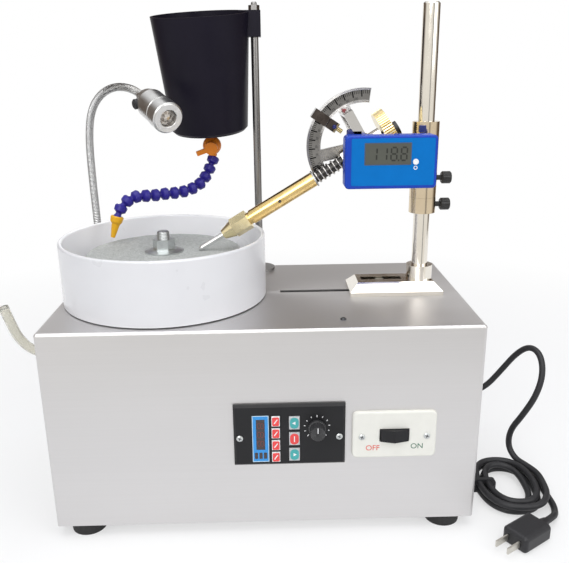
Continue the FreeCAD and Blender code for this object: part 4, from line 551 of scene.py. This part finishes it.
# Speed knob: a black moulded cap with a white line, in a ring of printed ticks on the panel.
KNOB_X, KNOB_Z = 48.3, 114.6
knob_black, shader, place = finish("knob_black", Specular_IOR_Level=0.45)
angle = place.stretch((1, 0, 1), (-KNOB_X * MM, 0, -KNOB_Z * MM)).bearing()
drive(shader, place, Base_Color=place.noise(60.0).between((0.02, 0.02, 0.022), (0.045, 0.045, 0.048)),
      Roughness=place.noise(300.0) * 0.2 + 0.3, Normal=grain(place, angle.sine(24.0), 0.6, 0.0006))
coat(knob_black, "speed_knob")
slab("knob_mark", (KNOB_X - 0.4, PANEL_FRONT - 13.7, KNOB_Z + 1),
     (KNOB_X + 0.4, PANEL_FRONT - 13.4, KNOB_Z + 6.4), 0.1, print_white, "knob")
TICK_RADIUS = 11.4
for index in range(11):
    lean = -135 + 27 * index
    swing = math.radians(lean)
    x = KNOB_X + TICK_RADIUS * math.sin(swing)
    z = KNOB_Z + TICK_RADIUS * math.cos(swing)
    tall = 2.2 if index % 5 == 0 else 1.5
    badge("dial_tick_%02d" % index, (x, PANEL_FRONT + 0.04, z), 0.7, tall, 0.2, 0.12, print_white, "base",
          lean)

# Mains switch: a cream plate with rounded corners, a black rocker, and its two words printed on it.
# Cross-headed screws hold it and the panel.
plate_cream = glossy("plate_cream", (0.68, 0.675, 0.62), (0.75, 0.745, 0.69), 0.3)
coat(plate_cream, "switch_plate")
print_red = glossy("print_red", (0.62, 0.06, 0.04), (0.72, 0.08, 0.05), 0.4, 0.0)
print_green = glossy("print_green", (0.01, 0.10, 0.05), (0.015, 0.14, 0.07), 0.4, 0.0)


def words(name, text, height, place, material, body, turned=0.0):
    """Flat printed characters that face the front, made a mesh before they are put in place."""
    curve = bpy.data.curves.new(name, "FONT")
    curve.body = text
    curve.align_x = "CENTER"
    curve.align_y = "CENTER"
    curve.size = height * MM
    curve.extrude = 0.06 * MM
    writing = bpy.data.objects.new(name, curve)
    bpy.context.collection.objects.link(writing)
    bpy.context.view_layer.update()
    solved = writing.evaluated_get(bpy.context.evaluated_depsgraph_get())
    data = bpy.data.meshes.new_from_object(solved)
    bpy.data.objects.remove(writing)
    mesh = bmesh.new()
    mesh.from_mesh(data)
    lean = Matrix.Rotation(math.radians(turned), 4, "Y")
    upright = Matrix.Translation(Vector(place) * MM) @ lean @ Matrix.Rotation(math.pi / 2, 4, "X")
    bmesh.ops.transform(mesh, verts=mesh.verts, matrix=upright)
    bmesh.ops.remove_doubles(mesh, verts=mesh.verts, dist=1e-7)
    new_piece(name, mesh, material, body)


words("off_word", "OFF", 7.5, (99.9, -108.55, 91.3), print_red, "base")
words("on_word", "ON", 7.5, (141, -108.55, 92.3), print_green, "base")
screw_heads = ((-22.5, 104.7, -110.2), (68.9, 104.7, -110.2), (89.8, 103, -109.7), (149.8, 103, -109.7))
# Each cross slot is a flat dark bar that paints the shade in the screw head's recess.
for index, (x, z, front) in enumerate(screw_heads):
    for lean in (20, 110):
        badge("screw_slot_%d_%d" % (index, lean), (x, front + 0.03, z), 0.7, 3.4, 0.2, 0.1, dark_steel,
              "base", lean)

# Mast and head: chromed steel with fine smudges. The sleeve and the stop collar on the mast are
# nickelled brass, paler on the sleeve's bracket, and the thumbscrews are black.
chrome, shader, place = finish("chrome", Metallic=1.0)
smudge = place.noise(45.0, 4.0)
drive(shader, place, Base_Color=smudge.between((0.76, 0.72, 0.65), (0.90, 0.86, 0.79)),
      Roughness=smudge * 0.12 + 0.05)
coat(chrome, "mast", "mast_foot", "arm_yoke")
nickel, shader, place = finish("nickelled_brass", Metallic=1.0)
smudge = place.noise(45.0, 4.0)
bracket = place.part("X") < 147.2 * MM
warm = smudge.between((0.62, 0.50, 0.34), (0.78, 0.67, 0.51))
cold = smudge.between((0.50, 0.49, 0.48), (0.70, 0.69, 0.68))
drive(shader, place, Base_Color=bracket.between(warm, cold), Roughness=smudge * 0.12 + 0.08)
coat(nickel, "stop_collar", "head_sleeve")
black_screw, shader, place = finish("black_screw", Specular_IOR_Level=0.5)
ridges = place.stretch((1, 1, 1), (0, -3.5 * MM, 0)).part("Y").sine(6000.0)
drive(shader, place, Base_Color=place.noise(200.0).between((0.008, 0.008, 0.008), (0.02, 0.02, 0.02)),
      Roughness=place.noise(200.0) * 0.2 + 0.28, Normal=grain(place, ridges, 0.5, 0.0004))
coat(black_screw, "collar_screw", "sleeve_screw")
spring_steel, shader, place = finish("spring_steel", Metallic=1.0)
smear = place.noise(150.0)
drive(shader, place, Base_Color=smear.between((0.40, 0.39, 0.38), (0.62, 0.61, 0.60)),
      Roughness=smear * 0.15 + 0.12)
coat(spring_steel, "quill_spring")

# Protractor: a chromed ring whose sunk band is engraved with a tick for every second degree and a
# longer one for every tenth, each with its figure. Its polished face is painted darker as a dark
# reflection, and the sunk band darker still as painted shade. The stop that rides on it is chrome
# painted dark as a dark reflection, with a brass tip.
PIVOT = Vector((102, 3.5, 353.8))
RING_FRONT = 15.5


def about_pivot(distance, degrees, y):
    """A place in millimetres at a distance and angle from the arm's pivot, seen from the front."""
    swing = math.radians(degrees)
    return Vector((PIVOT.x + distance * math.cos(swing), y, PIVOT.z + distance * math.sin(swing)))


engraved, shader, place = finish("engraved_chrome", Metallic=1.0)
dial = place.stretch((1, 0, 1), (-PIVOT.x * MM, 0, -PIVOT.z * MM))
angle = dial.bearing()
radius = dial.length()
fine_ticks = (angle.sine(180.0) > 0.55) * (radius > 50.2 * MM)
long_ticks = (angle.sine(36.0) > 0.9) * (radius > 47.4 * MM)
band = (radius > 44.2 * MM) * (radius < 53.6 * MM) * (place.part("Y") < (RING_FRONT + 1.6) * MM)
ticks = (fine_ticks + long_ticks) * band
ticks = ticks.node("Clamp", Value=ticks)
ridges = radius.sine(9000.0) * (1 - band)
smudge = place.noise(45.0, 4.0)
# The polished face's dark tone is painted reflection; the sunk band's darker tone is painted shade.
polished_dark_reflection = (smudge * 0.7 + ridges * 0.15 + 0.1).between((0.18, 0.175, 0.17), (0.62, 0.61, 0.60))
sunk_band_shade = smudge.between((0.13, 0.127, 0.124), (0.30, 0.295, 0.29))
drive(shader, place, Base_Color=ticks.between(band.between(polished_dark_reflection, sunk_band_shade), (0.012, 0.012, 0.012)),
      Roughness=smudge * 0.12 + ticks * 0.4 + 0.10, Normal=grain(place, ridges, 0.3, 0.0003))
coat(engraved, "protractor")
ink_black = glossy("ink_black", (0.008, 0.008, 0.008), (0.014, 0.014, 0.014), 0.5, 0.0)
for figure in range(0, 110, 10):
    swing = 200 - figure
    spot = about_pivot(45.9, swing, RING_FRONT + 1.1)
    words("dial_figure_%03d" % figure, str(figure), 3.2, spot, ink_black, "arm", 90 - swing)
stop_dark, shader, place = finish("stop_dark", Metallic=1.0)
smear = place.noise(120.0)
tip = place.stretch((1, 0, 1), (-PIVOT.x * MM, 0, -PIVOT.z * MM)).length() < 33 * MM
# The stop's dark tone is painted reflection in its chrome, with a smear varying it.
smeared_dark_reflection = smear.between((0.025, 0.020, 0.018), (0.13, 0.11, 0.10))
drive(shader, place, Base_Color=tip.between(smeared_dark_reflection, (0.72, 0.58, 0.28)), Roughness=smear * 0.15 + 0.08)
coat(stop_dark, "stop_block")
screw_blue = glossy("screw_blue", (0.008, 0.014, 0.11), (0.012, 0.02, 0.16), 0.25)
set_screw = turned_piece([(0, 0), (2.0, 0), (2.0, 2.6), (1.5, 3.2), (0, 3.2)], 24)
aim(set_screw, (0, -1, 0), about_pivot(34.4, 146, 16.1))
new_piece("stop_set_screw", set_screw, screw_blue, "stop")

# Angle gauge: a blue moulded case with a paler front label, a grey-green screen and a button.
# A navy lug behind it and one on the sleeve hold it, and the head's pointer has a red mark.
gauge_blue = glossy("gauge_blue", (0.003, 0.040, 0.36), (0.006, 0.050, 0.43), 0.34, 0.1, 0.25)
label_blue = glossy("label_blue", (0.0, 0.135, 0.44), (0.0, 0.155, 0.50), 0.45, 0.0, 0.12)
screen_green = glossy("screen_green", (0.060, 0.064, 0.052), (0.074, 0.078, 0.062), 0.25, 0.2)
digit_ink = glossy("digit_ink", (0.012, 0.013, 0.010), (0.016, 0.017, 0.012), 0.4, 0.0)
screen_rim = glossy("screen_rim", (0.05, 0.07, 0.10), (0.06, 0.08, 0.12), 0.4, 0.0)
button_white = glossy("button_white", (0.74, 0.75, 0.76), (0.84, 0.85, 0.86), 0.3)
lug_navy = glossy("lug_navy", (0.004, 0.012, 0.11), (0.006, 0.018, 0.16), 0.3)
coat(gauge_blue, "gauge_case")
coat(button_white, "gauge_button")
GAUGE_FRONT = -46.0
SCREEN_X, SCREEN_Z = 116.2, 353.2
badge("gauge_label", (121.0, GAUGE_FRONT + 0.1, 345.9), 75.5, 42.5, 1.5, 0.35, label_blue, "head")
badge("gauge_screen_rim", (SCREEN_X, GAUGE_FRONT - 0.1, SCREEN_Z), 42.6, 20, 0.8, 0.35, screen_rim, "head")
badge("gauge_screen", (SCREEN_X, GAUGE_FRONT - 0.3, SCREEN_Z), 40.6, 18, 0.4, 0.3, screen_green, "head")
seven_segments("gauge_figures", "118.8", (117, GAUGE_FRONT - 0.62, SCREEN_Z), 5.2, 11.5, 1.5, 0.06, digit_ink,
               "head")
ring = turned_piece([(1.1, 0), (1.8, 0), (1.8, 0.1), (1.1, 0.1), (1.1, 0)], 32)
aim(ring, (0, -1, 0), (141.5, GAUGE_FRONT - 0.2, 340.6))
new_piece("button_ring", ring, print_white, "head")
slab("sleeve_lug", (151, -12.5, 368.6), (157.5, -7.5, 375.4), 0.6, lug_navy, "head")
slab("gauge_back_lug", (81, -28, 366.0), (96, -21, 373.6), 1.6, lug_navy, "head")
mark_red = glossy("mark_red", (0.17, 0.012, 0.018), (0.23, 0.018, 0.024), 0.3)
pointer = about_pivot(40, 120, 0)
slab("pointer_mark", pointer + Vector((-2.2, 5, -0.6)), pointer + Vector((2.2, 14.6, 1.8)), 0.4, mark_red,
     "head")

# Quill: a polished brass barrel on a steel shaft, with a chuck and dop at one end and the index wheel
# with its black end knob at the other. A dark grub screw fills the hole in the barrel, and its
# darkness also paints the shade in the hole.
ARM_DROP = math.radians(30.9)
ARM_HEADING = Vector((-math.cos(ARM_DROP), 0, -math.sin(ARM_DROP)))


def along_arm(place):
    """How far down the arm from its pivot a point of the surface lies, in metres."""
    from_pivot = place.stretch((1, 1, 1), tuple(-PIVOT * MM))
    return from_pivot.stretch((1, 1, 1), turned=(0, math.pi / 2 + ARM_DROP, 0)).part("Z")


brass, shader, place = finish("polished_brass", Metallic=1.0)
along = along_arm(place)
turning = along.sine(9000.0)
stain = place.noise(60.0, 4.0)
shaft = along < 57.2 * MM
brassy = (stain * 0.9 + turning * 0.05).between((0.60, 0.40, 0.13), (0.86, 0.66, 0.32))
drive(shader, place, Base_Color=shaft.between(brassy, (0.05, 0.048, 0.046)),
      Roughness=stain * 0.16 + shaft * 0.15 + 0.10, Normal=grain(place, turning, 0.05, 0.0002))
coat(brass, "quill_barrel")
# The dark screw in the barrel's hole also serves as painted shade for the hole.
hole_shade_screw = turned_piece([(0, 0), (1.5, 0), (1.5, 16), (0, 16)], 24)
aim(hole_shade_screw, (0, -1, 0), PIVOT + ARM_HEADING * 97 + Vector((0, 8, 0)))
new_piece("barrel_hole_shade_screw", hole_shade_screw, dark_steel, "quill")
wheel_brass, shader, place = finish("wheel_brass")
stain = place.noise(60.0, 4.0)
knob_end = along_arm(place) < -31.05 * MM
brassy = stain.between((0.66, 0.54, 0.30), (0.86, 0.76, 0.50))
drive(shader, place, Base_Color=knob_end.between(brassy, (0.012, 0.012, 0.013)),
      Roughness=stain * 0.16 + knob_end * 0.2 + 0.12, Metallic=1.0 - knob_end)
coat(wheel_brass, "index_wheel")
pale_brass, shader, place = finish("pale_brass", Metallic=1.0)
stain = place.noise(110.0)
drive(shader, place, Base_Color=stain.between((0.86, 0.72, 0.40), (0.97, 0.87, 0.58)),
      Roughness=stain * 0.16 + 0.18)
coat(pale_brass, "chuck")
dop_steel, shader, place = finish("dop_steel", Metallic=1.0)
stain = place.noise(110.0)
drive(shader, place, Base_Color=stain.between((0.72, 0.72, 0.72), (0.86, 0.86, 0.86)),
      Roughness=stain * 0.15 + 0.14)
coat(dop_steel, "dop")

# Drip tank: a black moulded bucket on the rod, with an orange valve, a jointed hose and a nozzle.
tank_black, shader, place = finish("tank_black", Specular_IOR_Level=0.13)
haze = place.noise(22.0)
fine = place.noise(900.0)
drive(shader, place, Base_Color=haze.between((0.006, 0.005, 0.011), (0.011, 0.009, 0.018)),
      Roughness=haze * 0.18 + 0.3, Normal=grain(place, fine, 0.05, 0.0002))
coat(tank_black, "water_tank")
valve_orange = glossy("valve_orange", (0.72, 0.20, 0.012), (0.84, 0.26, 0.02), 0.3, 0.1, 0.3)
hose_violet = glossy("hose_violet", (0.020, 0.014, 0.20), (0.030, 0.021, 0.27), 0.3, 0.1, 0.3)
nozzle_amber = glossy("nozzle_amber", (0.66, 0.34, 0.010), (0.78, 0.42, 0.018), 0.28, 0.1, 0.3)
coat(valve_orange, "valve_body", "valve_lever")
coat(hose_violet, "hose_upper", "hose_lower")
coat(nozzle_amber, "nozzle")

# Gooseneck lamp: a chromed wound-metal neck in a turned base, with an aluminium head, a rubber
# switch and a small lens in an aluminium ring.
alloy, shader, place = finish("turned_aluminium", Metallic=1.0)
smear = place.noise(80.0)
drive(shader, place, Base_Color=smear.between((0.56, 0.56, 0.56), (0.72, 0.72, 0.72)),
      Roughness=smear * 0.15 + 0.24)
coat(alloy, "lamp_head", "lamp_base", "lap_platen")
wound, shader, place = finish("wound_neck", Metallic=1.0)
surface = Shade(place.tree, place.tree.nodes["Texture Coordinate"].outputs["UV"])
# The ribs are bumped, and their grooves painted dark and crests light as painted shade and highlight.
rib_bumps_and_shade = surface.part("X").sine(2 * math.pi * 240)
drive(shader, place, Base_Color=(rib_bumps_and_shade * 0.5 + 0.5).between((0.34, 0.34, 0.34), (0.88, 0.88, 0.88)),
      Roughness=place.noise(90.0) * 0.15 + 0.12, Normal=grain(place, rib_bumps_and_shade, 0.8, 0.0008))
LAMP_START = Vector((-119.1, 55, 404))
LAMP_HEADING = Vector((0.529, -0.784, -0.326)).normalized()
neck_points = [(-183, 85, 210), (-183, 85, 262), (-184, 85, 312), (-183.7, 84.5, 358), (-178.5, 83, 388),
               (-166, 81, 405.5), (-148.5, 77.5, 413), LAMP_START - LAMP_HEADING * 18, LAMP_START]
route = lay_route("neck_route", neck_points, 8.2 * MM)
bpy.context.view_layer.update()
solved = route.evaluated_get(bpy.context.evaluated_depsgraph_get())
data = bpy.data.meshes.new_from_object(solved)
bpy.data.objects.remove(route)
data.materials.clear()
data.materials.append(wound)
neck = bpy.data.objects.new("wound_gooseneck", data)
bpy.context.collection.objects.link(neck)
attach(neck, "lamp")
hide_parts("gooseneck")
lens_glass, shader, place = finish("lamp_lens", Metallic=0.7, Coat_Weight=1.0, Coat_Roughness=0.03)
# The lens's bright blotches on a dark bronze ground are painted glints of its facets.
painted_glints = place.noise(330.0) * 2.2 - 0.6
drive(shader, place, Base_Color=painted_glints.between((0.16, 0.11, 0.08), (0.80, 0.76, 0.70)),
      Roughness=painted_glints * 0.1 + 0.12)
ring = turned_piece([(8.4, 0), (14.4, 0), (14.4, 0.5), (13.8, 0.9), (9.0, 0.9), (8.4, 0.4), (8.4, 0)], 64)
aim(ring, LAMP_HEADING, LAMP_START + LAMP_HEADING * 62)
new_piece("lamp_front_ring", ring, alloy, "lamp")
dome = turned_piece([(0, 3.4), (3, 3.0), (5.6, 2.0), (7.6, 0.4), (8.2, 0), (0, 0)], 48)
aim(dome, LAMP_HEADING, LAMP_START + LAMP_HEADING * 56.1)
new_piece("lamp_lens", dome, lens_glass, "lamp")
